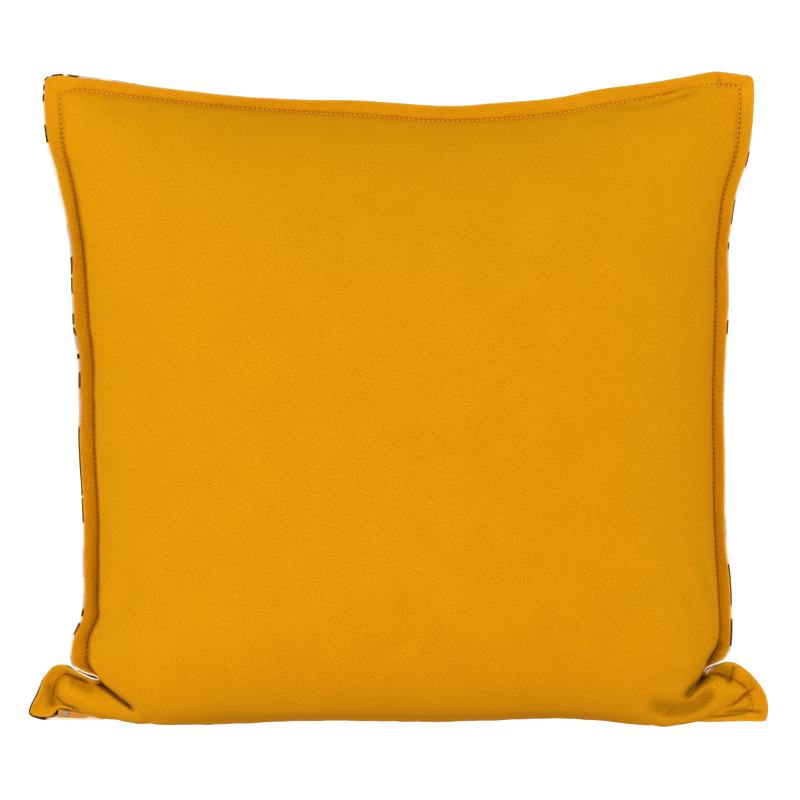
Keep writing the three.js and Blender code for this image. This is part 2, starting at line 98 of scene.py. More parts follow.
# Flange
FLANGE_WIDTH = 11.6
FLANGE_ARCH = 0.2
FLANGE_WAVE = 0.5
LEAST_LIFT = 1.6
FLANGE_CREASE = 0.5  # deepest crease pressed into it
NO_LIMIT = 99.0
UPPER_CURL = 0.35  # how steeply the flange of the upper side and its corners stands up
STATION_STEP = 1.4
STITCH_PITCH = 3.0
STITCH_LENGTH = 2.0
STITCH_SLANT = 0.22
STITCH_GATHER = 0.12
NEEDLE_WAY = 0.3  # of the needle holes outside what covers the stitches
# Painted shade in the needle holes
NEEDLE_HOLE_SHADE = (0.17, 0.055, 0.003)
FAR_FROM_HEM = 99.0  # the way to the hem of cloth that isn't near one
THREAD_RADIUS = 0.38
THREAD_HEIGHT = 0.62
THREAD_BURIED = -158.0  # below this the stitches sink into the folds
THREAD_MUSTARD = (0.92, 0.48, 0.03)
THREAD_PALE = (0.52, 0.46, 0.38)

# Zip
ZIP_START = (-209.2, -193.4, 45.9)
ZIP_END = (-181.5, -196.4, 45.2)
ZIP_TAPER = 0.45  # its visible width at the right end, where it rolls away, against the left
CORD_APART = 1.35
CORD_RISE = 0.75
LOOP_PITCH = 0.8
TAPE_HALF = 2.6
STOP_AT = -204.6
STOP_LONG = 2.9
STOP_WIDE = 3.9
STOP_TALL = 1.7

# Light
DOME_ABOVE = 1.14
DOME_TOP_TINT = (0.97, 1.10, 1.0)  # from the side of the upper edge
DOME_LOWER_TINT = (1.03, 0.88, 0.9)  # from the side of the lower edge
DOME_BELOW = 0.24
FLOOR_GLOW = 0.5
FLOOR_HALF = 6000
# Name, place, size, power and tint
LAMPS = [
    ("left", (-2.0, 0.0, 0.5), 0.8, 10, (0.98, 1.12, 1.0)),
    ("front", (0.1, 0.2, 2.9), 1.4, 8, (1.0, 0.97, 1.0)),
    ("right", (1.6, 0.3, 1.5), 0.8, 4, (1.0, 1.05, 1.0)),
]

# Pale unprinted turnings of the back cloth: middle x, y, half sizes and how far they reach from the hem;
# past that reach, down in the tuck, shade is painted in as black
CREAM_PLACES = [
    (-191, -168.5, 9.5, 7, 1.8), (-198, -198.2, 19, 2.6, NO_LIMIT), (195.5, -161.5, 10, 9.5, 1.8),
]
# Dark places of the back cloth: middle x, y and half sizes. The first is painted shadow in the pocket beside
# the zip's end, the last painted shadow under the lip above the zip; the middle one is dark print.
DARK_PRINT_AND_SHADOW_PLACES = [(-212.0, -192.6, 4.6, 2.9), (-222.0, -196.5, 6.0, 2.5), (-199.5, -191.4, 12.0, 2.3)]
# The print along the hem: from, to, and its tone, from -1 for black over brown to 1 for cream
LEFT_HEM = [
    (193.9, 196.6, -0.8), (188.9, 192.0, -0.7), (182.0, 185.8, -0.8), (160.4, 167.2, -0.7),
    (156.3, 160.4, -1.0), (87.4, 105.2, 0.4), (75.2, 86.8, -0.7), (63.5, 73.9, -0.85), (53.0, 63.5, 0.4),
    (44.5, 51.8, -0.6), (38.7, 43.6, -0.85), (29.1, 38.3, 0.4), (23.6, 26.7, -1.0), (15.0, 23.6, 0.4),
    (6.4, 15.0, -0.6), (-17.5, 6.0, 0.4), (-29.4, -17.8, -0.6), (-36.3, -29.4, -0.85), (-48.8, -36.3, -1.0),
    (-59.8, -48.8, -0.7), (-76.1, -60.4, -0.65), (-110.0, -91.0, 0.4), (-129.8, -119.9, 0.3),
    (-132.8, -129.8, -0.85), (-144.5, -137.4, -0.75),
]
RIGHT_HEM = [
    (141.7, 150.9, -0.6), (105.8, 121.2, -0.5), (90.5, 95.7, -0.8), (54.0, 90.0, 0.4), (39.6, 48.2, -0.8),
    (-83.7, -73.9, 0.3), (-105.2, -101.5, -0.9), (-110.7, -105.2, -0.75), (-127.3, -110.7, -0.6),
    (-151.8, -135.3, -0.8),
]
EAR_HEM = -0.6  # tone of the hem round both folded corners
TOP_HEM = [
    (-213.8, -206.0, -0.75), (-203.0, -196.9, -0.7), (-196.6, -184.4, 0.3), (-176.0, -150.0, 0.4),
]

# Rim of the upper side, left to right: x, y of the edge, y of the stitches, print showing past the edge
UPPER_RIM = [
    (-198, 197.4, 189.3, 1.1), (-186, 196.3, 188.6, 1.0), (-176, 195.1, 187.0, 0.8),
    (-152, 191.5, 184.2, 0.2), (-122, 188.0, 180.7, 0.0), (-90, 184.9, 178.0, 0.0),
    (-60, 183.5, 175.9, 0.0), (-25, 182.9, 173.9, 0.0), (1, 181.2, 171.9, 0.0), (13, 180.2, 170.8, 0.1),
    (36, 179.5, 170.3, 0.4), (60, 181.3, 171.4, 0.2), (95, 184.3, 174.3, 0.0), (124, 189.9, 179.6, 0.0),
    (154, 193.8, 184.6, 0.0), (178, 197.8, 189.6, 0.0), (194, 200.6, 192.6, 0.0),
    (203, 199.9, 192.4, 0.0),
]
# Rims of the upright sides, top to bottom: y, x of the edge, x of the stitches, curl, print showing
LEFT_RIM = [
    (180, -217.6, -208.0, 0.45, 1.0), (157, -215.0, -205.2, 0.5, 1.2), (143, -210.9, -202.3, 0.6, 1.9),
    (131, -208.3, -199.3, 0.7, 1.5), (110, -203.6, -196.0, 0.8, 1.8), (89, -200.8, -192.9, 0.85, 1.3),
    (72, -200.4, -191.5, 0.9, 0.6), (50, -199.4, -189.8, 0.95, 1.0), (43, -199.1, -189.2, 0.95, 0.9),
    (36, -197.3, -188.5, 0.95, 2.1), (21, -195.9, -186.9, 1, 1.4), (0, -195.5, -186.5, 1, 1.3),
    (-25, -195.9, -186.2, 1, 0.7), (-50, -194.6, -185.0, 1, 0.5), (-75, -193.3, -183.8, 1.1, 0.7),
    (-100, -193.5, -184.0, 1.2, 0.8), (-124, -193.2, -184.3, 1.3, 0.9), (-133, -193.9, -184.0, 1.35, 1.3),
    (-146, -199.4, -189.7, 1.3, 0.7), (-155, -201.0, -191.3, 1.25, 1.2),
]
RIGHT_RIM = [
    (180, 218.1, 209.5, 0.3, 0.0), (165, 216.9, 208.3, 0.35, 0.2), (147, 214.0, 205.2, 0.4, 0.7),
    (137, 210.8, 202.0, 0.45, 0.7), (126, 207.2, 198.6, 0.5, 0.6), (104, 203.6, 195.9, 0.55, 0.6),
    (89, 202.1, 194.3, 0.55, 0.5), (60, 202.4, 193.8, 0.6, 0.4), (40, 201.5, 193.3, 0.6, 0.7),
    (0, 199.6, 192.2, 0.6, 0.3), (-34, 200.3, 192.6, 0.65, 0.5), (-68, 200.3, 192.9, 0.65, 0.5),
    (-90, 201.2, 193.9, 0.7, 0.8), (-111, 203.4, 194.9, 0.75, 0.5), (-139, 204.4, 196.5, 0.85, 0.9),
    (-149, 204.0, 196.2, 0.9, 1.0),
]
# Flange round each upper corner: the stitched corner, then edge x, y and print showing
UPPER_LEFT_SEAM = (-208.3, 186.4)
UPPER_LEFT_EDGES = [(-217.3, 188.8, 1.0), (-216.2, 196.0, 1.1), (-208.8, 198.1, 1.1)]
UPPER_RIGHT_SEAM = (209.4, 191.3)
UPPER_RIGHT_EDGES = [(209.8, 198.9, 0.0), (217.0, 197.2, 0.0), (218.3, 189.0, 0.0)]

# Flange through the folded corners: edge x, y, z, stitches x, y, z, how far the front is drawn back,
# print showing, thickness. A print of less than nothing keeps the back layer hidden behind the front one.
LEFT_EAR = [
    (-219.3, -196.6, 45, -212.2, -188.0, 43.4, 0.14, 0.5, 1),
    (-225.6, -194.0, 46, -212.8, -187.0, 43, 0.03, 0.7, 1),
    (-226.2, -190.5, 48, -213.0, -185.6, 42.8, 0, 0.8, 1),
    (-221.8, -181.3, 52, -212.2, -181.2, 42.8, 0, 0.1, 1),
    (-217.8, -171.0, 52, -210.8, -175.6, 43.6, 0, -0.9, 1),
    (-211.9, -164.1, 51.5, -207.6, -170.8, 44.6, 0, -1.5, 1),
    (-205.2, -163.0, 52.5, -204.0, -168.6, 46, 0, -1.5, 1),
    (-199.8, -166.0, 55.5, -199.6, -169.9, 48, 0, -0.4, 0.8),
    (-193.3, -169.2, 58.5, -193.4, -172.0, 49.5, 0, 0.7, 0.66),
    (-187.4, -171.8, 60.5, -187.2, -174.6, 50.5, 0, 0.9, 0.62),
    (-184.0, -172.3, 61, -182.2, -174.0, 51, 0, 0.9, 0.62),
    (-184.8, -170.9, 61, -183.4, -170.6, 51, 0, 0.7, 0.62),
    (-188.4, -169.6, 60.5, -186.6, -168.0, 51, 0, 0.6, 0.62),
    (-194.5, -167.0, 59, -190.0, -165.0, 50.5, 0, 0.6, 0.7),
    (-199.6, -163.8, 57.5, -191.6, -161.6, 50.5, 0, 0.8, 0.9),
]
RIGHT_EAR = [
    (203.0, -154.4, 57, 194.6, -153.4, 51, 0, 0.9, 1),
    (199.6, -160.0, 58, 192.4, -157.6, 51, 0, 1.1, 0.9),
    (193.4, -163.3, 59.5, 190.2, -161.0, 51, 0, 1.1, 0.75),
    (188.6, -166.0, 60.5, 186.4, -166.0, 51, 0, 1.2, 0.7),
    (188.2, -168.4, 59.5, 186.4, -169.8, 50, 0, 1.1, 0.7),
    (191.2, -166.4, 56.5, 190.6, -170.2, 48.5, 0, -0.2, 0.75),
    (195.3, -163.2, 54.0, 194.6, -169.6, 47.4, 0, -0.8, 0.85),
    (199.9, -161.1, 52.5, 198.8, -170.4, 46.4, 0, -1.3, 1),
    (205.8, -161.4, 51, 203.2, -171.9, 45.4, 0, -1.4, 1),
    (213.1, -165.8, 50, 208.6, -174.6, 44.8, 0, -1.4, 1),
    (218.9, -171.3, 49.5, 212.6, -177.6, 44.6, 0, -1.3, 1),
    (224.0, -178.3, 49, 215.2, -181.8, 44.6, 0, -1.2, 1),
    (226.6, -185.3, 48.5, 216.4, -185.6, 44.6, 0, -1.1, 1),
    (227.0, -191.3, 47, 217.1, -189.2, 44.6, 0, -0.9, 1),
    (226.1, -196.2, 45.5, 216.9, -190.6, 44.6, 0, -0.6, 1),
    (224.6, -197.9, 45, 215.4, -191.4, 44.7, 0, -0.4, 1),
]
LOWER_RUN = [
    (214, -198.0, 44.6, 210, -191.8, 45, 0, 0, 1),
    (203, -197.9, 44, 203, -193.0, 45.4, 0, 0, 1),
    (190, -197.8, 42, 191, -194.0, 46, 0, 0, 1),
    (176, -196.6, 38.5, 175, -194.0, 47, 0, 0, 1),
    (140, -196.2, 37, 140, -194.4, 47, 0, 0, 1),
    (90, -194.4, 37, 90, -192.4, 47, 0, 0, 1),
    (40, -194.6, 37, 40, -192.6, 47, 0, 0, 1),
    (-20, -195.4, 37, -20, -193.4, 47, 0, 0, 1),
    (-80, -196.4, 37, -80, -194.2, 47, 0, 0, 1),
    (-130, -194.8, 37.5, -130, -193.4, 47, 0, 0, 1),
    (-150, -195.0, 38.5, -150, -193.0, 47, 0, 0, 1),
    (-166, -195.4, 41, -165, -193.0, 46.5, 0, 0, 1),
    (-176, -196.4, 44, -176, -194.2, 46, 0.1, 0.2, 1),
    (-184.7, -197.0, 45, -184.7, -194.4, 46, 0.6, 0.3, 1),
    (-192.3, -197.2, 45, -192.3, -192.3, 45.8, 0.85, 0.3, 1),
    (-200, -197.3, 45, -199.6, -189.6, 45.6, 0.80, 0.3, 1),
    (-205.6, -197.3, 45, -204.6, -187.9, 45, 0.75, 0.3, 1),
    (-210.0, -197.3, 45, -208.4, -187.0, 44.6, 0.66, 0.3, 1),
    (-212.4, -197.2, 45, -210.6, -187.4, 44.2, 0.32, 0.3, 1),
    (-215.2, -197.2, 45, -211.6, -187.9, 43.8, 0.22, 0.4, 1),
]

# The body's outline where the folded corners pass under it, and along the lower seam
LEFT_LIP = [(-173.2, -181.0), (-182.0, -173.8), (-188.0, -168.4), (-191.4, -161.4)]
RIGHT_LIP = [(182.4, -176.8), (187.2, -168.8), (191.6, -161.4), (194.4, -154.2)]
LOWER_SEAM_LINE = [
    (-173.2, -181.0), (-162, -190.2), (-148.5, -194.3), (-122, -195.0), (-90, -194.2), (-59, -192.4),
    (-25, -192.6), (1, -193.2), (30, -193.2), (60, -192.4), (99, -191.2), (124, -192.6), (150, -195.4),
    (166.5, -193.2), (176.6, -186.2), (182.4, -176.8),
]

# Lobes of the folded corners, tip to root: upper foot x, y, crest x, y, lower foot x, y, then their heights
LEFT_LOBE = [
    (-210.8, -174.0, -212.2, -178.2, -211.6, -182.4, 43.5, 44.0, 43.5),
    (-209.4, -171.6, -210.6, -177.8, -209.4, -184.4, 44.0, 47.0, 44.0),
    (-206.6, -168.8, -207.8, -177.6, -206.0, -187.0, 44.5, 50.0, 44.5),
    (-202.0, -167.8, -203.4, -178.4, -201.2, -189.2, 45.2, 52.6, 45.0),
    (-196.0, -170.2, -197.6, -181.0, -194.6, -192.2, 46.2, 54.6, 45.6),
    (-189.6, -172.2, -190.6, -184.2, -188.0, -194.6, 47.0, 56.5, 45.8),
    (-182.6, -171.0, -183.2, -187.0, -181.4, -196.0, 48.0, 58.0, 46.2),
    (-171.0, -173.5, -174.6, -190.0, -174.2, -196.8, 56.0, 59.5, 47.5),
    (-160.0, -176.0, -165.4, -193.0, -166.0, -198.6, 62.0, 60.5, 49.0),
    (-150.0, -178.0, -156.6, -194.0, -158.0, -199.2, 62.0, 59.5, 50.0),
    (-141.0, -178.0, -146.6, -190.0, -148.6, -195.5, 56.0, 54.0, 50.0),
    (-133.0, -178.0, -137.0, -185.0, -139.0, -189.0, 50.0, 49.0, 48.0),
]
RIGHT_LOBE = [
    (213.4, -177.6, 214.2, -178.6, 214.2, -179.6, 45.6, 46.4, 45.6),
    (210.6, -175.8, 211.8, -178.6, 212.2, -181.8, 45.6, 49.5, 45.6),
    (207.0, -173.2, 208.4, -178.6, 208.8, -184.6, 45.8, 52.0, 45.8),
    (202.6, -170.2, 204.2, -178.4, 204.8, -187.4, 46.2, 54.6, 45.8),
    (197.0, -168.0, 198.6, -179.4, 199.6, -190.9, 47.0, 57.0, 46.0),
    (191.4, -167.4, 192.6, -181.0, 193.4, -193.6, 47.6, 59.0, 46.4),
    (185.4, -170.0, 186.0, -184.6, 186.8, -197.0, 49.0, 60.0, 47.2),
    (174.5, -171.0, 178.4, -188.6, 179.6, -199.0, 57.0, 60.5, 48.5),
    (163.5, -174.5, 169.4, -192.0, 171.0, -200.3, 63.0, 61.0, 50.0),
    (154.0, -178.0, 159.4, -193.0, 161.0, -200.2, 62.0, 60.0, 50.0),
    (145.0, -178.0, 149.0, -189.0, 151.0, -196.0, 56.0, 55.0, 50.0),
    (137.0, -178.0, 140.0, -184.5, 142.0, -190.0, 50.0, 49.0, 48.0),
]

# The flat cloth under each corner's fold, in the same columns
RIGHT_UNDERFOLD = [
    (212.6, -180.6, 214.6, -185.4, 214.6, -189.6, 43.6, 43.8, 43.6),
    (210.6, -178.0, 212.6, -184.2, 212.0, -190.8, 44.0, 44.8, 43.8),
    (207.0, -175.6, 209.0, -184.0, 208.4, -192.0, 44.6, 46.0, 44.2),
    (202.6, -172.6, 205.0, -183.6, 204.4, -193.2, 45.2, 47.0, 44.6),
    (195.6, -172.0, 198.4, -184.2, 198.8, -194.6, 45.6, 47.4, 45.0),
    (188.6, -173.0, 191.4, -184.6, 192.4, -196.2, 46.0, 47.6, 45.0),
    (181.4, -177.0, 184.4, -187.0, 185.4, -196.8, 46.0, 47.6, 45.4),
]
LEFT_UNDERFOLD = [
    (-212.8, -175.5, -214.2, -182.0, -213.4, -187.4, 43.4, 43.8, 43.4),
    (-210.0, -172.0, -211.6, -181.5, -210.5, -188.6, 43.6, 44.4, 43.6),
    (-205.0, -170.0, -206.2, -180.5, -204.5, -189.6, 44.0, 45.2, 44.0),
    (-198.0, -171.5, -199.2, -181.0, -197.5, -191.0, 44.6, 46.0, 44.4),
    (-190.0, -173.5, -190.5, -183.5, -188.5, -193.0, 45.2, 46.6, 45.0),
]

# The back cloth across the bottom of each tuck: left, lower, right and upper limit, and height
TUCK_WEBS = [(-197.0, -176.0, -181.0, -166.0, 43.0), (187.0, -172.0, 195.0, -162.0, 43.0)]

# Lasting creases and ridges of the cloth, and shade painted into its colour in and beside them: height, half
# width, painted shade, then the line it follows
MARKS = [
    (-3.2, 1.2, 0.5, [
        (-206.1, -166.0), (-204.0, -167.5), (-198.2, -170.2), (-191.5, -172.7), (-188.0, -174.2),
    ]),
    (-3.4, 2.6, 0.4, [(-212.9, -173.3), (-214.1, -178.8), (-214.1, -185.0), (-213.2, -190.5)]),
    (-0.5, 0.8, 0.6, [
        (-211.0, -181.6), (-209.2, -183.7), (-205.8, -186.7), (-199.1, -189.6), (-195.3, -191.3),
    ]),
    (1.0, 0.8, 0, [(-216.9, -195.4), (-213.8, -193.3), (-211.4, -190.2), (-208.9, -188.0)]),
    (-1.8, 3.0, 0.15, [(-202.1, -170.9), (-196.9, -174.5), (-191.1, -177.0), (-184.0, -178.0)]),
    (-6.5, 1.3, 0.85, [
        (-188.7, -169.8), (-183.4, -174.8), (-178.0, -178.7), (-172.6, -182.8),
        (-168.1, -186.3), (-163.9, -189.9), (-160.6, -193.3),
    ]),
    (-3.4, 1.3, 0.75, [
        (206.4, -162.9), (205.6, -165.0), (204.9, -167.2), (203.7, -171.5), (202.5, -175.5),
    ]),
    (1.0, 2.0, 0, [(210.0, -166.0), (209.0, -170.6), (207.7, -174.8)]),
    (2.0, 1.2, 0, [(219.8, -173.0), (216.6, -176.1), (213.4, -178.2), (209.5, -182.0)]),
    (-1.4, 0.9, 0.65, [
        (220.8, -174.8), (217.8, -177.4), (213.8, -180.4), (209.5, -184.4), (202.1, -189.9),
    ]),
    (-3.4, 0.9, 0.8, [
        (225.5, -192.5), (218.7, -192.0), (212.6, -191.4), (207.7, -191.7), (203.6, -192.1), (197.9, -192.8),
    ]),
    (-2.8, 0.8, 0.8, [
        (215.6, -192.8), (213.4, -192.9), (208.7, -193.7), (199.3, -194.7), (188.0, -195.7),
    ]),
    (-6.5, 4.2, 0.42, [
        (194.8, -176.4), (192.2, -178.8), (188.0, -184.4), (183.7, -188.0),
        (178.8, -189.9), (171.5, -191.4), (162.9, -190.5), (150.6, -188.0),
    ]),
    (2.2, 2.4, 0, [(197.5, -169.8), (192.6, -173.9), (185.9, -179.2), (180.4, -183.7), (174.5, -187.7)]),
    (-6.0, 2.0, 0.9, [
        (190.9, -165.8), (186.8, -170.9), (182.0, -175.9), (178.0, -180.2), (175.4, -185.5),
    ]),
    (-2.8, 1.2, 0.75, [
        (188.0, -170.2), (189.9, -169.0), (192.6, -168.4), (196.0, -168.9),
        (198.5, -169.8), (200.9, -170.9), (203.1, -175.2),
    ]),
    (-3.0, 2.2, 0.55, [
        (199.1, -146.9), (196.6, -151.8), (193.9, -157.1), (191.1, -161.4), (188.0, -165.3),
    ]),
    (-1.8, 0.9, 0.35, [(195.4, 200.9), (196.3, 196.6), (198.2, 192.3)]),
    (2.2, 1.3, 0, [(150.0, 182.2), (165.3, 185.0), (178.8, 189.0), (188.7, 191.6), (197.0, 191.9)]),
    (-2.2, 1.2, 0.12, [
        (126.1, 177.6), (138.0, 178.8), (151.2, 179.9), (165.3, 182.0), (177.6, 186.0), (188.4, 190.0),
    ]),
    # Shade alone, painted into the colour: beside the right corner's tuck, on the left folded corner's
    # flange, and along the lower edge where the cloth turns under
    (0, 3.2, 0.5, [(189.9, -167.8), (193.6, -165.3), (197.2, -165.0), (200.9, -167.2), (204.0, -171.5)]),
    (0, 2.6, 0.2, [(-217.5, -185.0), (-213.8, -181.3), (-211.4, -176.4)]),
    (0, 2.6, 0.22, [
        (-176, -196), (-148, -196.4), (-122, -196.6), (-90, -196), (-59, -195), (-25, -195.2), (1, -195.4),
        (30, -195.4), (60, -195), (99, -194.4), (124, -195.2), (150, -197), (172, -198),
    ]),
]


def as_seen(points):
    """Places read off the picture, moved towards the camera's axis by as much as their height needs."""
    p = np.array(points, float)
    nearer = 1.0 - (p[..., 2:3] - RIM) / CAMERA_RISE
    p[..., :2] *= nearer
    return p + MIDDLE_SHIFT


def smooth_rows(rows, step, closed=False, keys=3):
    """A smooth curve through rows of numbers, sampled evenly.

    The first keys columns say how far apart the rows are.
    """
    p = np.array(rows, float)
    p = np.vstack([p[-1], p, p[:2]]) if closed else np.vstack([2 * p[0] - p[1], p, 2 * p[-1] - p[-2]])
    gap = np.maximum(np.linalg.norm(np.diff(p[:, :keys], axis=0), axis=1), 1e-3)
    knot = np.concatenate([[0], np.cumsum(np.sqrt(gap))])
    dense = []
    for i in range(len(p) - 3):
        dense.append(catmull_span(p[i : i + 4], knot[i : i + 4], max(3, int(gap[i + 1] / 0.4))))
    dense = np.vstack(dense + [p[-2:-1]])
    run = run_along(dense[:, :keys])
    at = np.linspace(0, run[-1], max(2, round(run[-1] / step)) + 1)
    even = np.stack([np.interp(at, run, column) for column in dense.T], axis=1)
    return even[:-1] if closed else even


def run_along(points):
    """The length of a line up to each of its points."""
    return np.concatenate([[0], np.cumsum(np.linalg.norm(np.diff(points, axis=0), axis=1))])


def catmull_span(p, t, count):
    s = np.linspace(t[1], t[2], count, endpoint=False)[:, None]

    def between(a, b, ta, tb):
        return ((tb - s) * a + (s - ta) * b) / (tb - ta)

    a = [between(p[i], p[i + 1], t[i], t[i + 1]) for i in range(3)]
    b = [between(a[i], a[i + 1], t[i], t[i + 2]) for i in range(2)]
    return between(b[0], b[1], t[1], t[2])


def smoothstep(x, low, high):
    t = np.clip((np.asarray(x, float) - low) / (high - low), 0, 1)
    return t * t * (3 - 2 * t)


def mesh_object(name, points, faces, material, smooth=True):
    """A mesh object from points in millimetres."""
    mesh = bpy.data.meshes.new(name)
    places = (np.asarray(points, float) * MM).tolist()
    mesh.from_pydata(places, [], [tuple(int(i) for i in face) for face in faces])
    mesh.update()
    mesh.polygons.foreach_set("use_smooth", [smooth] * len(mesh.polygons))
    piece = bpy.data.objects.new(name, mesh)
    bpy.context.scene.collection.objects.link(piece)
    piece.data.materials.append(material)
    return piece


def set_vector(piece, name, values):
    """A vector for each point of a mesh, read by the materials."""
    attribute = piece.data.attributes.new(name, "FLOAT_VECTOR", "POINT")
    attribute.data.foreach_set("vector", np.asarray(values, np.float32).ravel())


def first_only(values):
    """Vectors whose first number is the value."""
    return np.stack([values, 0 * values, 0 * values], axis=1)


def read_points(piece):
    co = np.zeros(len(piece.data.vertices) * 3)
    piece.data.vertices.foreach_get("co", co)
    return co.reshape(-1, 3) / MM


def write_points(piece, points):
    piece.data.vertices.foreach_set("co", (np.asarray(points) * MM).astype(np.float32).ravel())
    piece.data.update()


# Material nodes


class Nodes:
    """Short calls for building the node tree of one material or world."""

    def __init__(self, owner, shader="Principled BSDF"):
        owner.use_nodes = True
        self.owner = owner
        self.tree = owner.node_tree
        self.shader = self.tree.nodes[shader]

    def link(self, source, socket):
        self.tree.links.new(source, socket)

    def add(self, kind, inputs, **settings):
        """A new node with its settings made and its named or numbered inputs linked or set."""
        node = self.tree.nodes.new("ShaderNode" + kind)
        for name, value in settings.items():
            setattr(node, name, value)
        for name, value in inputs.items():
            self.fill(node.inputs[name], value)
        return node

    def vector(self, name):
        return self.add("Attribute", {}, attribute_name=name).outputs["Vector"]

    def math(self, operation, a, b=None, c=None):
        return self.add("Math", {0: a, 1: b, 2: c}, operation=operation).outputs[0]

    def fill(self, socket, value):
        if value is None:
            return
        if isinstance(value, bpy.types.NodeSocket):
            self.link(value, socket)
        else:
            socket.default_value = value

    def parts(self, vector):
        return self.add("SeparateXYZ", {0: vector}).outputs

    def turned(self, vector, degrees, scale=(1, 1, 1)):
        rotation = (0, 0, math.radians(degrees))
        return self.add("Mapping", {"Vector": vector, "Rotation": rotation, "Scale": scale}).outputs[0]

    def noise(self, vector, scale, detail=2.0, roughness=0.5):
        inputs = {"Vector": vector, "Scale": scale, "Detail": detail, "Roughness": roughness}
        return self.add("TexNoise", inputs).outputs["Fac"]

    def ramp(self, value, stops):
        node = self.add("ValToRGB", {0: value})
        ramp = node.color_ramp
        while len(ramp.elements) < len(stops):
            ramp.elements.new(0.5)
        for element, (place, color) in zip(ramp.elements, stops):
            element.position = place
            element.color = (*color, 1)
        return node.outputs[0]

    def mix(self, share, a, b):
        a, b = (c if isinstance(c, bpy.types.NodeSocket) else (*c, 1) for c in (a, b))
        return self.add("Mix", {0: share, 6: a, 7: b}, data_type="RGBA").outputs[2]

    def spread(self, value, low, high, to_low=0.0, to_high=1.0):
        return self.add("MapRange", {0: value, 1: low, 2: high, 3: to_low, 4: to_high}).outputs[0]

    def bump(self, height, strength, distance):
        node = self.add("Bump", {"Height": height, "Strength": strength, "Distance": distance * MM})
        self.link(node.outputs[0], self.shader.inputs["Normal"])

    def finish(self, color, roughness, sheen=0.0, specular=0.3, metallic=0.0, sheen_roughness=0.5):
        settings = {
            "Base Color": color if isinstance(color, bpy.types.NodeSocket) else (*color, 1),
            "Roughness": roughness,
            "Sheen Weight": sheen,
            "Sheen Roughness": sheen_roughness,
            "Specular IOR Level": specular,
            "Metallic": metallic,
        }
        for name, value in settings.items():
            self.fill(self.shader.inputs[name], value)
        return self.owner


MUSTARD = (0.592, 0.238, 0.0003)
MUSTARD_RIB = (0.730, 0.340, 0.0060)
MUSTARD_FURROW = (0.440, 0.160, 0.0001)
# Painted light: the flange a little brighter than the body, for the light the thin flange catches
MUSTARD_FLANGE_LIT = (0.630, 0.256, 0.0010)
# Painted highlight along the rounded hem of the flange
MUSTARD_HEM_HIGHLIGHT = (0.700, 0.310, 0.0060)
# Painted shade, mixed into the mustard down in creases, beside edges and in the flange's shadow by the body
MUSTARD_FOLD_SHADE = (0.160, 0.055, 0.0010)  # down in the folds
PRINT_GROUNDS = [(0.60, 0.45, 0.36), (0.47, 0.37, 0.32)]
PRINT_INKS = [(0.0, (0.035, 0.014, 0.007)), (0.45, (0.12, 0.045, 0.02)), (0.7, (0.22, 0.2, 0.19))]
# Colours of the named tones along the hem, from black over brown to cream
PRINT_TONES = [
    (0.0, (0.030, 0.018, 0.009)), (0.15, (0.115, 0.038, 0.016)), (0.35, (0.26, 0.12, 0.06)),
    (0.65, (0.52, 0.45, 0.42)), (0.85, (0.66, 0.56, 0.47)), (1.0, (0.86, 0.74, 0.56)),
]
TAPE_COLORS = [(0.40, 0.15, 0.006), (0.52, 0.21, 0.014)]
COIL_COLORS = [(0.90, 0.42, 0.05), (1.0, 0.54, 0.12)]
STOP_COLORS = [(0.20, 0.14, 0.09), (0.42, 0.36, 0.30)]
TWILL_PITCH = 1.13
TWILL_SLOPE = 33.0


def twill(n, cloth):
    """A twill weave's slanting ribs, their height with the threads and fibres, and the fibres alone."""
    wander = n.noise(cloth, 0.35, 2.0)
    across = n.math("MULTIPLY_ADD", wander, 0.5, n.parts(n.turned(cloth, -TWILL_SLOPE))[1])
    rib = n.math("SINE", n.math("MULTIPLY", across, 2 * math.pi / TWILL_PITCH))
    thread = n.math("SINE", n.math("MULTIPLY", n.parts(cloth)[0], 2 * math.pi / 0.62))
    fibre = n.noise(cloth, 0.9, 3.0, 0.75)
    ribs = n.math("MULTIPLY_ADD", rib, 0.5, n.math("MULTIPLY", thread, 0.18))
    return ribs, n.math("MULTIPLY_ADD", fibre, 0.9, ribs), fibre


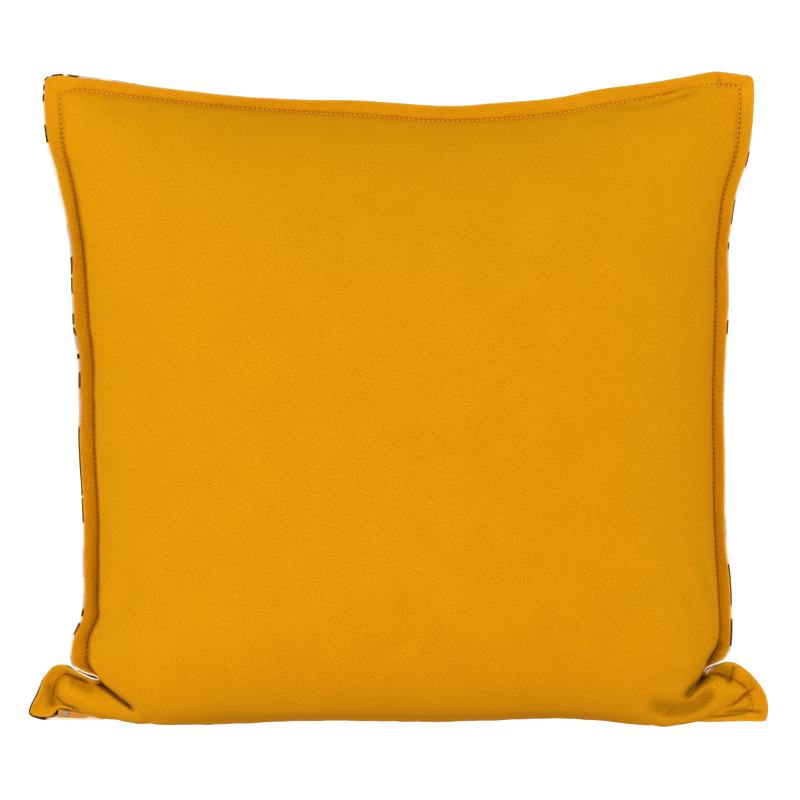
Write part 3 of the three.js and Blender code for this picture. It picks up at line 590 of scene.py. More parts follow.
def mustard_twill():
    """Plain twill, with some light and shade painted into its colour.

    The attribute sewing holds the run, the way out and the way to the hem.
    The attribute tone holds the strength of the needle holes' painted shade and the shade painted down in
    folds and beside edges.
    """
    n = Nodes(bpy.data.materials.new("mustard_twill"))
    cloth = n.vector("cloth")
    sewing = n.parts(n.vector("sewing"))
    tone = n.parts(n.vector("tone"))
    ribs, height, fibre = twill(n, cloth)
    # Painted light: the flange's mustard a little brighter than the body's
    base = n.mix(n.spread(sewing[1], 0.5, 2.5), MUSTARD, MUSTARD_FLANGE_LIT)
    # Painted highlight along the flange's rounded hem
    base = n.mix(n.spread(sewing[2], 2.4, 0.6, 0.0, 0.6), base, MUSTARD_HEM_HIGHLIGHT)
    lit = n.math("MULTIPLY_ADD", n.math("SUBTRACT", fibre, 0.5), 3.2, n.math("MULTIPLY", ribs, 0.35))
    color = n.mix(n.spread(lit, 0.0, 0.9, 0, 1), base, MUSTARD_RIB)
    color = n.mix(n.spread(lit, 0.0, -0.9, 0, 1), color, MUSTARD_FURROW)
    slubs = n.noise(n.turned(cloth, 0, (0.12, 1.6, 1)), 1.0, 2.0, 0.6)
    color = n.mix(n.spread(slubs, 0.5, 0.75, 0, 0.25), color, MUSTARD_RIB)
    patches = n.noise(cloth, 0.03, 3.0, 0.6)
    color = n.mix(n.spread(patches, 0.35, 0.65, 0, 0.12), color, MUSTARD_FURROW)
    # Painted shade down in the creases, beside edges and in the flange's shadow by the body
    color = n.mix(tone[1], color, MUSTARD_FOLD_SHADE)
    # Painted shade in the needle holes, as dark dots
    color = n.mix(n.math("MULTIPLY", needle_hole_shade(n, sewing), tone[0]), color, NEEDLE_HOLE_SHADE)
    n.bump(height, 0.5, 0.12)
    n.shader.inputs["Sheen Tint"].default_value = (1.0, 1.0, 0.2, 1)
    return n.finish(color, 0.95, sheen=0.04, specular=0.03, sheen_roughness=0.3)


def needle_hole_shade(n, sewing):
    """Painted shade: dark dots where the needle went in, a little outside the stitch line."""
    phase = n.math("FRACT", n.math("DIVIDE", sewing[0], STITCH_PITCH))
    along = n.math("MULTIPLY", n.math("ABSOLUTE", n.math("SUBTRACT", phase, 0.5)), STITCH_PITCH)
    away = n.math("SUBTRACT", sewing[1], NEEDLE_WAY)
    squares = n.math("ADD", n.math("MULTIPLY", along, along), n.math("MULTIPLY", away, away))
    distance = n.math("SQRT", squares)
    return n.spread(distance, 0.35, 0.75, 0.85, 0.0)


def printed_cloth():
    """The back's print: a generic all-over of uneven blotches in browns and grey on a cream ground."""
    n = Nodes(bpy.data.materials.new("printed_cloth"))
    cloth = n.vector("cloth")
    bent = n.noise(cloth, 0.02, 2.0)
    place = n.add("VectorMath", {0: n.turned(cloth, 20, (0.075, 0.13, 1)), 1: bent}, operation="ADD")
    cells = n.add("TexVoronoi", {"Vector": place.outputs[0], "Scale": 1.0, "Randomness": 0.9})
    blotch = n.spread(cells.outputs["Distance"], 0.42, 0.48, 1.0, 0.0)
    ragged = n.noise(cloth, 0.5, 2.0)
    blotch = n.math("MULTIPLY", blotch, n.spread(ragged, 0.36, 0.42))
    shade = n.parts(cells.outputs["Color"])[0]
    ink = n.ramp(shade, PRINT_INKS)
    ground = n.mix(n.spread(n.noise(cloth, 0.05, 2.0), 0.4, 0.6), *PRINT_GROUNDS)
    color = n.mix(blotch, ground, ink)
    tone = n.parts(n.vector("tone"))[0]
    named = n.ramp(n.spread(tone, -1.0, 1.0), PRINT_TONES)
    color = n.mix(n.spread(n.math("ABSOLUTE", tone), 0.0, 0.25), color, named)
    _, height, _ = twill(n, cloth)
    n.bump(height, 0.5, 0.12)
    return n.finish(color, 0.95, specular=0.05)


def plain_thread(name, color):
    n = Nodes(bpy.data.materials.new(name))
    cloth = n.vector("cloth")
    twist = n.math("SINE", n.math("MULTIPLY", n.parts(n.turned(cloth, 40))[0], 2 * math.pi / 0.22))
    shade = n.mix(n.spread(twist, -1, 1), tuple(0.78 * c for c in color), color)
    n.bump(twist, 0.4, 0.04)
    return n.finish(shade, 0.8, specular=0.1)


def zip_cloth():
    """Woven tape, with the lighter and smoother loops of the coil where kind says so."""
    n = Nodes(bpy.data.materials.new("zip_cloth"))
    cloth = n.vector("cloth")
    coil = n.parts(n.vector("kind"))[0]
    weft = n.math("SINE", n.math("MULTIPLY", n.parts(cloth)[0], 2 * math.pi / 0.45))
    warp = n.math("SINE", n.math("MULTIPLY", n.parts(cloth)[1], 2 * math.pi / 0.55))
    height = n.math("MULTIPLY", n.math("ADD", weft, warp), n.math("SUBTRACT", 1.0, coil))
    woven = n.mix(n.spread(height, -1.4, 1.4), *TAPE_COLORS)
    grain = n.noise(cloth, 1.4, 2.0)
    nylon = n.mix(n.spread(grain, 0.35, 0.65), *COIL_COLORS)
    n.bump(height, 0.5, 0.08)
    return n.finish(n.mix(n.spread(coil, 0.25, 0.7), woven, nylon), 0.6, specular=0.25)


def stop_metal():
    n = Nodes(bpy.data.materials.new("stop_metal"))
    cloth = n.vector("cloth")
    scratch = n.noise(n.turned(cloth, 0, (0.6, 4.0, 1)), 1.5, 3.0)
    color = n.mix(n.spread(scratch, 0.4, 0.6), *STOP_COLORS)
    n.bump(scratch, 0.3, 0.05)
    return n.finish(color, 0.42, metallic=0.85, specular=0.5)


# Body


def body_curve(points, shares):
    """A smooth plan curve, read at shares of its length."""
    even = smooth_rows([(x, y, 0.0) for x, y in points], 0.5)
    at = np.linspace(0, 1, len(even))
    return np.stack([np.interp(shares, at, even[:, k]) for k in range(2)], axis=1)


def body_lines(count, width):
    """Distances across the body that crowd towards its seams, with one line close beside each seam."""
    even = np.linspace(0, 1, count - 2)
    crowded = 0.45 * even + 0.55 * (1 - np.cos(np.pi * even)) / 2
    return np.concatenate([[0], WALL_INSET + (width - 2 * WALL_INSET) * crowded, [width]])


def plan_grid(u, v):
    """Places of the body's grid seen from above, stretched between its four outlines."""
    left = body_curve(LEFT_LIP + [(row[2], row[0]) for row in LEFT_RIM[::-1]] + [UPPER_LEFT_SEAM], v)
    right = body_curve(RIGHT_LIP + [(row[2], row[0]) for row in RIGHT_RIM[::-1]] + [UPPER_RIGHT_SEAM], v)
    upper = body_curve([UPPER_LEFT_SEAM] + [(row[0], row[2]) for row in UPPER_RIM] + [UPPER_RIGHT_SEAM], u)
    lower = body_curve(LOWER_SEAM_LINE, u)
    a, b = u[None, :, None], v[:, None, None]
    plan = (1 - b) * lower[None] + b * upper[None] + (1 - a) * left[:, None] + a * right[:, None]
    plan -= (1 - b) * ((1 - a) * lower[0] + a * lower[-1]) + b * ((1 - a) * upper[0] + a * upper[-1])
    return plan


def fullness(distance, reach):
    inward = np.clip(distance / reach, 0, 1)
    return (1 - (1 - inward) ** FACE_POWER) ** (1 / FACE_POWER)


def wall(distance, reach, ease):
    """How full the body is at a distance from one side. A larger ease starts less steeply."""
    start = fullness(ease, reach + ease)
    inside = np.maximum(distance - WALL_INSET, 0)
    return (fullness(inside + ease, reach + ease) - start) / (1 - start)


def bump_at(place, middle, width):
    return np.exp(-(((place - middle) / width) ** 2))


def body_grids():
    """Front and back of the body as grids of points, sharing their rim."""
    across, up = body_lines(BODY_COLUMNS, FACE_WIDTH), body_lines(BODY_ROWS, FACE_HEIGHT)
    u, v = across / FACE_WIDTH, up / FACE_HEIGHT
    plan = plan_grid(u, v)
    seam = LOWER_SEAM + (RIM - LOWER_SEAM) * smoothstep(v, 0, 0.12)[:, None]
    sides = wall(across, SIDE_REACH, SIDE_EASE) * wall(FACE_WIDTH - across, SIDE_REACH, SIDE_EASE)
    upright = wall(FACE_HEIGHT - up, TOP_REACH, TOP_EASE) * wall(up, LOWER_REACH, LOWER_EASE)
    foot = seam + SEAM_LIFT
    front_height = foot + (RIM + CROWN - foot) * sides[None, :] * upright[:, None]
    front = np.dstack([plan[..., 0], plan[..., 1] - lower_bulge(u, up), front_height])
    hang_over(front, across, FACE_HEIGHT - up)
    sides = wall(across, BACK_REACH, BACK_EASE) * wall(FACE_WIDTH - across, BACK_REACH, BACK_EASE)
    upright = wall(FACE_HEIGHT - up, BACK_REACH, BACK_EASE) * wall(up, LOWER_BACK_REACH, BACK_EASE)
    back_height = (seam - SEAM_LIFT) * (1 - sides[None, :] * upright[:, None])
    back = np.dstack([plan, back_height])
    for grid in (front, back):
        grid[0, :, 2] = seam[0]
        grid[-1, :, 2] = seam[-1]
        grid[:, 0, 2] = seam[:, 0]
        grid[:, -1, 2] = seam[:, 0]
    return as_seen(front), as_seen(back)


def lower_bulge(u, up):
    """How far the lower side's roll swells out over its seam."""
    near = 1 - np.clip(up / LOWER_REACH, 0, 1)
    ends = np.clip(u / ROLL_ENDS[0], 0, 1) * np.clip((1 - u) / ROLL_ENDS[1], 0, 1)
    roll = fullness(up, LOWER_REACH)
    return LOWER_BULGE * (near**0.3 * np.sin(np.pi * np.clip(roll * 1.15, 0, 1)))[:, None] * ends[None, :]


def hang_over(front, across, down):
    """Lets the full cloth lean over the stitches where the picture shows it doing so."""
    beside_top = (1 - smoothstep(down, 2, 12))[:, None] * smoothstep(down, 0, 0.5)[:, None]
    for most, middle, width in TOP_LEANS:
        front[..., 1] += most * bump_at(front[..., 0], middle, width) * beside_top
    lean = over_stitches(front[..., 1])
    most, middle, width = LEFT_LEAN
    left_lean = lean + most * bump_at(front[..., 1], middle, width)
    beside = (1 - smoothstep(across, 3, 18)) * smoothstep(across, 0, 1.5)
    front[..., 0] += lean * beside[None, ::-1] - left_lean * beside[None, :]


def over_stitches(y):
    """How far the full cloth of the upright sides leans over the stitches."""
    return OVERHANG * smoothstep(y, -165, -140) * (1 - smoothstep(y, 150, 180))


def quads(index):
    a, b, c, d = index[:-1, :-1], index[:-1, 1:], index[1:, 1:], index[1:, :-1]
    return np.stack([a, b, c, d], axis=-1).reshape(-1, 4).tolist()


def rim_of(index):
    """Point numbers round the edge of a grid, counterclockwise seen from above."""
    return np.concatenate([index[0, :], index[1:, -1], index[-1, -2::-1], index[-2:0:-1, 0]])


def closed_body(front, back):
    """Points and faces of a closed pillow from two grids that share their rim."""
    rows, columns = front.shape[:2]
    index_front = np.arange(rows * columns).reshape(rows, columns)
    inner = np.zeros((rows, columns), bool)
    inner[1:-1, 1:-1] = True
    index_back = index_front.copy()
    index_back[inner] = rows * columns + np.arange(inner.sum())
    points = np.vstack([front.reshape(-1, 3), back[inner]])
    faces = quads(index_front) + [f[::-1] for f in quads(index_back)]
    return points, faces, index_front, index_back


def fill_with_air(piece, held, spare, cap):
    """Blows the pillow up a little, its seams held, with some spare cloth beside them."""
    pinned = piece.vertex_groups.new(name="held")
    pinned.add([int(i) for i in held], 1.0, "REPLACE")
    gathered = piece.vertex_groups.new(name="spare")
    for i, weight in spare:
        gathered.add([int(i)], float(weight), "REPLACE")
    start = read_points(piece)
    cloth = piece.modifiers.new("cloth", "CLOTH")
    for name, value in CLOTH.items():
        setattr(cloth.settings, name, value)
    cloth.settings.effector_weights.gravity = 0
    cloth.point_cache.frame_start = 1
    cloth.point_cache.frame_end = FILL_STEPS
    for step in range(1, FILL_STEPS + 1):
        bpy.context.scene.frame_set(step)
    move = evaluated_points(piece) - start
    piece.modifiers.remove(cloth)
    bpy.context.scene.frame_set(1)
    size = np.maximum(np.linalg.norm(move, axis=1, keepdims=True), 1e-6)
    write_points(piece, start + move * np.minimum(1, cap / size))


def evaluated_points(piece):
    return read_points(piece.evaluated_get(bpy.context.evaluated_depsgraph_get()))


def random_field(places):
    """Smooth random values for places, the same on each run."""
    return np.array([noise.noise(Vector(p)) for p in places.reshape(-1, 3)]).reshape(places.shape[:-1])


def finer_grid(grid):
    """A grid with a smooth new row and column between each two."""

    def between_rows(g):
        before, after = g[:-1], g[1:]
        outer_before = np.concatenate([g[:1], g[:-2]])
        outer_after = np.concatenate([g[2:], g[-1:]])
        out = np.empty((len(g) * 2 - 1, *g.shape[1:]))
        out[0::2] = g
        out[1::2] = (9 * (before + after) - outer_before - outer_after) / 16
        return out

    once = between_rows(grid)
    return between_rows(once.transpose(1, 0, 2)).transpose(1, 0, 2)


def grid_normals(grid):
    normal = np.cross(np.gradient(grid, axis=1), np.gradient(grid, axis=0))
    return unit(normal)


def unit(vectors):
    return vectors / np.maximum(np.linalg.norm(vectors, axis=-1, keepdims=True), 1e-9)


def cloth_places(grid):
    """Each point's place on the flat cloth: lengths along the grid lines from the middle ones."""
    across = np.linalg.norm(np.diff(grid, axis=1), axis=2).cumsum(axis=1)
    across = np.concatenate([np.zeros((len(grid), 1)), across], axis=1)
    up = np.linalg.norm(np.diff(grid, axis=0), axis=2).cumsum(axis=0)
    up = np.concatenate([np.zeros((1, grid.shape[1])), up])
    across -= across[:, grid.shape[1] // 2][:, None]
    up -= up[grid.shape[0] // 2][None, :]
    return np.dstack([across, up, np.zeros_like(up)])


def inflated_body():
    """The pillow's front and back as fine grids, after the cloth has settled."""
    front, back = body_grids()
    points, faces, index_front, index_back = closed_body(front, back)
    pillow = mesh_object("pillow", points, faces, bpy.data.materials.new("plain"))
    across, up = body_lines(BODY_COLUMNS, FACE_WIDTH), body_lines(BODY_ROWS, FACE_HEIGHT)
    inward = np.minimum(np.minimum(across, across[::-1])[None, :], np.minimum(up, up[::-1])[:, None])
    weight = 1 - smoothstep(inward, 15, 55)
    spare = [(i, w) for i, w in zip(index_front.ravel(), weight.ravel()) if w > 0.01]
    held = np.concatenate([index_front[inward < 1.5], index_back[inward < 1.5]])
    fill_with_air(pillow, held, spare, FILL_CAP)
    points = read_points(pillow)
    bpy.data.objects.remove(pillow)
    front, back = points[index_front], points[index_back]
    back[..., 2] = np.maximum(back[..., 2], 0)
    return finer_grid(front), finer_grid(back)


def pucker(grid):
    """Small gathers beside the seams, square to them, and soft uneven swells over the whole face."""
    flat = cloth_places(grid)
    x, y = flat[..., 0], flat[..., 1]
    sides = [(x - x[:, :1], y), (x[:, -1:] - x, y), (y - y[:1], x), (y[-1:] - y, x)]
    height = np.zeros(grid.shape[:2])
    for seed, (inward, along) in enumerate(sides):
        fine = random_field(np.dstack([along / 8.0, inward / 40.0, np.full_like(along, seed * 9.0)]))
        wide = random_field(np.dstack([along / 24.0, inward / 70.0, np.full_like(along, 40 + seed * 9.0)]))
        height += FINE_PUCKER * fine * smoothstep(inward, 0.5, 5) * (1 - smoothstep(inward, 7, 30))
        height += WIDE_PUCKER * wide * smoothstep(inward, 0.5, 14) * (1 - smoothstep(inward, 25, 75))
    inward = np.minimum.reduce([side[0] for side in sides])
    height += SWELL * random_field(flat / 70.0) * smoothstep(inward, 0, 60)
    return grid + grid_normals(grid) * height[..., None]


def make_filling(face, back):
    """The front cloth round its filling, closed below by a coarser surface just inside the back cloth."""
    inside = back + grid_normals(back) * (BACK_CLOTH + 0.3)
    index = np.arange(face.shape[0] * face.shape[1]).reshape(face.shape[:2])
    coarse = np.zeros(index.shape, bool)
    coarse[2:-2:2, 2:-2:2] = True
    below = index.copy()
    below[coarse] = index.size + np.arange(coarse.sum())
    points = np.vstack([face.reshape(-1, 3), inside[coarse]])
    cloth = np.vstack([cloth_places(face).reshape(-1, 3), cloth_places(inside)[coarse]])
    return points, quads(index) + coarse_faces(below), cloth


def coarse_faces(index):
    """Faces over every second grid line, seen from below, that still use each point of the rim."""
    last_row, last_column = index.shape[0] - 1, index.shape[1] - 1
    faces = []
    for r in range(0, last_row, 2):
        for c in range(0, last_column, 2):
            ring = [index[r, c]] + [index[0, c + 1]] * (r == 0)
            ring += [index[r, c + 2]] + [index[r + 1, last_column]] * (c + 2 == last_column)
            ring += [index[r + 2, c + 2]] + [index[last_row, c + 1]] * (r + 2 == last_row)
            ring += [index[r + 2, c]] + [index[r + 1, 0]] * (c == 0)
            faces.append(ring[::-1])
    return faces


# Lasting creases and their painted shade


def seen_from_camera(points):
    """The other way round from as_seen: where points show in the tables' plan."""
    flat = points - MIDDLE_SHIFT
    return flat[:, :2] / (1.0 - (flat[:, 2:3] - RIM) / CAMERA_RISE)


def marks_near(points):
    """For each mark: its height and shade, the points near it and how strongly it takes hold of each."""
    plan = seen_from_camera(points)
    for height, width, shade, line in MARKS:
        path = smooth_rows([(x, y, 0.0) for x, y in line], 0.4)[:, :2]
        low, high = path.min(axis=0) - 3 * width, path.max(axis=0) + 3 * width
        near = np.flatnonzero(((plan > low) & (plan < high)).all(axis=1))
        if len(near) == 0:
            continue
        gaps = np.linalg.norm(plan[near][:, None, :] - path[None], axis=2)
        place = gaps.argmin(axis=1) / (len(path) - 1)
        fade = smoothstep(place, 0, 0.2) * (1 - smoothstep(place, 0.8, 1))
        yield height, shade, near, fade * np.exp(-((gaps.min(axis=1) / width) ** 2))


def press_marks(points, deepest=NO_LIMIT):
    """Raises or lowers points beside the creases and ridges that the picture shows."""
    moved = points.copy()
    for height, _, near, hold in marks_near(points):
        moved[near, 2] += max(height, -deepest) * hold
    return moved


def pressed_grid(grid):
    return press_marks(grid.reshape(-1, 3)).reshape(grid.shape)


def painted_fold_shade(points):
    """How much shade is painted into the cloth's colour down in its creases and beside its edges."""
    dark = np.zeros(len(points))
    for _, shade, near, hold in marks_near(points):
        dark[near] = np.maximum(dark[near], shade * hold)
    return dark


# Flange


def flange_rows():
    """All rows round the whole cover: edge, stitches, opening, print showing and thickness."""

    def side(seam_x, seam_y, edge_x, edge_y, curl, shown_print):
        shown = min(math.hypot(edge_x - seam_x, edge_y - seam_y), FLANGE_WIDTH)
        lift = max(math.sqrt(FLANGE_WIDTH**2 - shown**2) * curl, LEAST_LIFT)
        return (edge_x, edge_y, RIM + lift, seam_x, seam_y, RIM, 0, shown_print, 1)

    rows = list(LEFT_EAR)
    rows += [side(seam, y, edge, y, curl, shown) for y, edge, seam, curl, shown in LEFT_RIM[::-1]]
    rows += [side(*UPPER_LEFT_SEAM, x, y, UPPER_CURL, shown) for x, y, shown in UPPER_LEFT_EDGES]
    rows += [side(x, seam, x, edge, UPPER_CURL, shown) for x, edge, seam, shown in UPPER_RIM]
    rows += [side(*UPPER_RIGHT_SEAM, x, y, UPPER_CURL, shown) for x, y, shown in UPPER_RIGHT_EDGES]
    rows += [side(seam, y, edge, y, curl, shown) for y, edge, seam, curl, shown in RIGHT_RIM]
    return rows + list(RIGHT_EAR) + list(LOWER_RUN)


class Flange:
    """Even stations round the flange, each with its own axes."""

    def __init__(self):
        rows = smooth_rows(flange_rows(), STATION_STEP * math.sqrt(2), closed=True, keys=6)
        self.edge = as_seen(rows[:, 0:3])
        self.seam = as_seen(rows[:, 3:6])
        self.open = np.clip(rows[:, 6], 0, 1)
        self.shown = np.clip(rows[:, 7], -2, 3)
        self.thick = rows[:, 8]
        middle = (self.edge + self.seam) / 2
        travel = unit(np.roll(middle, -1, axis=0) - np.roll(middle, 1, axis=0))
        self.width = np.linalg.norm(self.edge - self.seam, axis=1)
        self.out = unit(self.edge - self.seam)
        self.up = unit(np.cross(travel, self.out))
        rise = np.clip(self.out[:, 2], 0, 0.7)
        self.arch = FLANGE_ARCH * (1 + 1.6 * rise)
        steps = np.linalg.norm(np.diff(self.seam, axis=0, append=self.seam[:1]), axis=1)
        self.length = steps.sum()
        self.run = np.concatenate([[0], steps.cumsum()[:-1]])
        self.count = len(rows)
        places = np.stack([self.run / 15.0, np.zeros(self.count), np.zeros(self.count)], axis=1)
        self.wave = FLANGE_WAVE * random_field(places)
        self.holes = self.hole_strength()

    def hole_strength(self):
        """How strongly the needle holes' painted shade shows: well on the upright sides, less at the top and
        in the folds.
        """
        x, y = self.seam[:, 0], self.seam[:, 1]
        strength = 1 - 0.65 * smoothstep(y, 160, 172) * (1 - smoothstep(x, 180, 195))
        strength *= 1 - 0.75 * smoothstep(-y, 150, 165) * (x < 0)
        strength *= 1 - 0.8 * smoothstep(-y, 188, 191)
        return strength * (1 - smoothstep(self.open, 0.02, 0.1))

    def at(self, station, way_out, height):
        """A point of one station: way_out in millimetres from the stitches, height above the mid plane."""
        share = min(max(way_out / self.width[station], 0), 1)
        lift = height * self.thick[station] + self.arch[station] * 4 * share * (1 - share)
        lift += self.wave[station] * min(1.0, share * 1.5)
        return self.seam[station] + self.out[station] * way_out + self.up[station] * lift


INNER_END = -4.5  # where both layers end inside the body, from the stitches
# Section of one layer of the flange: the way out from the stitches, and the height over the mid plane
NEAR_STITCHES = [
    (INNER_END, 0.20), (-1.2, 0.40), (-0.6, 0.52), (-0.3, 0.46),
    (0.0, 0.38), (0.3, 0.46), (0.7, 0.80), (1.3, 1.08),
]
# The same, with the way out as a share of the flange's width
TOWARDS_EDGE = [
    (0.22, 1.16), (0.32, 1.12), (0.42, 1.08), (0.52, 1.05),
    (0.62, 1.05), (0.72, 1.08), (0.80, 1.16), (0.88, 1.26),
]
INNER_HEIGHT = 0.08
BACK_INNER_HEIGHT = 0.3  # near the stitches, clear of the front layer's creases
HEM_RADIUS = 0.66
HEM_HEIGHT = 0.75
HEM_TURNS = (80, 50, 20, -10, -45, -80)


def layer_section(width, hem_out, at_stitches):
    """The outline of one layer, from beside the filling to the rounded hem and back on its inner face."""
    squeeze = min(1.0, width / 6)
    rows = [(way * squeeze if way > 0 else way, height) for way, height in NEAR_STITCHES]
    past = 1.3 * squeeze + 0.1
    rows += [(share * width, height) for share, height in TOWARDS_EDGE if share * width > past]
    rows = [row for row in rows if row[0] < hem_out - HEM_RADIUS]
    for degrees in HEM_TURNS:
        turn = math.radians(degrees)
        way = hem_out - HEM_RADIUS + HEM_RADIUS * math.cos(turn)
        rows.append((way, HEM_HEIGHT + HEM_RADIUS * math.sin(turn)))
    rows += [(share * width, INNER_HEIGHT) for share, _ in TOWARDS_EDGE[::-1]]
    return rows + [(0.1 * width, at_stitches), (INNER_END, at_stitches)]


def front_section(flange, i):
    width = flange.width[i] * (1 - flange.open[i])
    stitch_lift = STITCH_GATHER * math.cos(2 * math.pi * flange.run[i] / STITCH_PITCH)
    rows = []
    for way, height in layer_section(width, width, INNER_HEIGHT):
        gather = stitch_lift * bump_at(way, 1.1, 0.8) if height > 0.2 else 0.0
        rows.append((way, height + gather))
    return rows


def back_section(flange, i):
    width = flange.width[i]
    shown = flange.shown[i]
    rise = 1.2 * min(1.0, shown)
    rows = []
    for way, height in layer_section(width, width + shown, BACK_INNER_HEIGHT):
        lifted = rise * float(smoothstep(way, width - 3.0, width + shown - 1.0)) if shown > 0 else 0.0
        rows.append((way, lifted - height))
    return rows


def even_count(rows, count):
    """A section's outline with a fixed number of points, so that all stations match."""
    p = np.array(rows, float)
    while len(p) < count:
        widest = int(np.diff(run_along(p)).argmax())
        middle = (p[widest] + p[widest + 1]) / 2
        p = np.insert(p, widest + 1, middle, axis=0)
    return p[:count]


def flange_part(flange, section, top_side):
    """One layer of the flange as a closed ring, with its cloth places and sewing values."""
    size = len(NEAR_STITCHES) + 2 * len(TOWARDS_EDGE) + len(HEM_TURNS) + 2
    outline = np.array([even_count(section(flange, i), size) for i in range(flange.count)])
    points = np.array([flange.at(i, way, height) for i in range(flange.count) for way, height in outline[i]])
    ways, heights = outline[..., 0].ravel(), outline[..., 1].ravel()
    crumple = 0.42 * random_field(points / 6.5) + 0.20 * random_field(points / 3.2)
    free = smoothstep(ways, 0.4, 2.5) * smoothstep(np.abs(heights), 0.3, 0.8)
    points = points + np.repeat(flange.up, size, axis=0) * (crumple * free)[:, None]
    grid = np.arange(flange.count * size).reshape(flange.count, size)
    grid = np.vstack([grid, grid[:1]])
    grid = np.hstack([grid, grid[:, :1]])
    faces = quads(grid) if top_side else [f[::-1] for f in quads(grid)]
    station = np.repeat(np.arange(flange.count), size)
    out = unit(flange.out * np.array([1, 1, 0]) + np.array([0, 0, 1e-6]))
    cloth = flange.seam[station] * np.array([1, 1, 0]) + out[station] * ways[:, None] * np.array([1, 1, 0])
    from_hem = np.repeat(outline[..., 0].max(axis=1), size) - ways
    covered = over_stitches(flange.seam[station, 1])
    sewing = np.stack([flange.run[station], ways - covered, from_hem], axis=1)
    return press_marks(points, FLANGE_CREASE), faces, cloth, sewing


# Folded corners


def lobe_grid(rows, across=40):
    """A puffed lobe as a grid of points, tip to root and from its upper to its lower foot."""
    fine = smooth_rows(rows, 1.0 * math.sqrt(2), keys=6)
    share = np.linspace(0, 1, across)[None, :, None]
    upper, crest, lower = (fine[:, None, k : k + 2] for k in (0, 2, 4))
    control = 2 * crest - (upper + lower) / 2
    plan = (1 - share) ** 2 * upper + 2 * share * (1 - share) * control + share**2 * lower
    foot, top, sole = (fine[:, None, k : k + 1] for k in (6, 7, 8))
    arch = np.maximum(np.sin(np.pi * share), 0) ** 0.6
    height = foot + (sole - foot) * share + (top - (foot + sole) / 2) * arch
    return as_seen(np.concatenate([plan, height], axis=2))


def melt_into(grid, tree, view, crisp, soft, first, last):
    """Lets a lobe's root run smoothly into the body: a crisp meeting at first, a wide soft one at last."""
    rows = len(grid)
    width = crisp + (soft - crisp) * smoothstep(np.linspace(0, 1, rows), first, last)
    direction = Vector(unit(np.array(view, float)))
    moved = grid.copy()
    for r in range(rows):
        k = width[r]
        for c in range(grid.shape[1]):
            start = Vector(grid[r, c]) + direction * 150
            hit = tree.ray_cast(start, -direction)[0]
            if hit is None:
                continue
            rise = (hit - Vector(grid[r, c])).dot(direction)
            moved[r, c] = grid[r, c] + np.array(direction) * melted_rise(rise, k)
    return moved


def melted_rise(rise, k):
    """How far a point moves towards the body's surface, which is rise above it."""
    if rise < -k:
        return 0.0
    if rise < k:
        hidden = 0.15 * float(smoothstep(rise, 0, k))
        return max(rise, 0) + (k - abs(rise)) ** 2 / (4 * k) - hidden
    stay = 1 - float(smoothstep(rise, 6 + k, 12 + k))
    return (rise - 0.15 - 0.5 * (rise - k)) * stay


def wrinkle(grid, seed, depth):
    flat = cloth_places(grid)
    places = np.dstack([flat[..., 0] / 10.0, flat[..., 1] / 26.0, np.full(flat.shape[:2], seed * 5.0)])
    share = np.linspace(0, 1, grid.shape[1])
    inside = np.minimum(1, 6 * share * (1 - share))[None, :]
    return grid + grid_normals(grid) * (depth * random_field(places) * inside)[..., None]


def closed_shell(top, bottom):
    """Points and faces of a solid between two grids, the second one below the first."""
    count = top.shape[0] * top.shape[1]
    index = np.arange(count).reshape(top.shape[:2])
    faces = quads(index) + [f[::-1] for f in quads(index + count)]
    rim = rim_of(index)
    faces += [[a, a + count, b + count, b] for a, b in zip(rim, np.roll(rim, -1))]
    return np.vstack([top.reshape(-1, 3), bottom.reshape(-1, 3)]), faces


def laid_on(grid, tree, view, soft, root, mirrored):
    """A lobe with its root run into the body, its face outwards, and its creases."""
    grid = melt_into(grid, tree, view, LOBE_CRISP, soft, *root)
    return pressed_grid(grid if mirrored else grid[:, ::-1])


def lobe_part(rows, tree, view, root, seed, mirrored):
    """The front cloth of one folded corner, closed by a flat underside."""
    grid = laid_on(wrinkle(lobe_grid(rows), seed, LOBE_WRINKLE), tree, view, 12.0, root, mirrored)
    under = grid.copy()
    under[..., 2] = np.minimum(under[..., 2], LOBE_FLOOR)
    points, faces = closed_shell(grid, under)
    return unsewn(points, faces)


def no_sewing(points):
    """Sewing values of cloth that is far from any stitches or hem."""
    return np.tile([0.0, 0.0, FAR_FROM_HEM], (len(points), 1))


def unsewn(points, faces):
    """A part with its plan as its cloth places, and no sewing near."""
    return points, faces, points * np.array([1, 1, 0]), no_sewing(points)


def web_part(left, lower, right, upper, height):
    """A flat piece of the back cloth, across the bottom of a tuck."""
    x, y = np.meshgrid(np.linspace(left, right, 9), np.linspace(lower, upper, 9))
    sole = as_seen(np.dstack([x, y, np.full_like(x, height)]))
    points, faces = closed_shell(sole + np.array([0, 0, BACK_CLOTH]), sole)
    return unsewn(points, faces)


def lobe_back_part(rows, tree, view, mirrored):
    """The back cloth under one folded corner, a thin sheet that bellies down a little."""
    table = []
    for row in rows:
        belly = LOBE_BACK_BELLY - 0.25 * (row[7] - 45)
        table.append(row[:6] + (row[6] - LOBE_BACK_DROP, belly, row[8] - LOBE_BACK_DROP))
    grid = laid_on(lobe_grid(table, across=24), tree, view, 6.0, (0.5, 0.8), mirrored)
    above = grid + np.array([0, 0, BACK_CLOTH])
    points, faces = closed_shell(above, grid)
    return unsewn(points, faces)


# Sewing


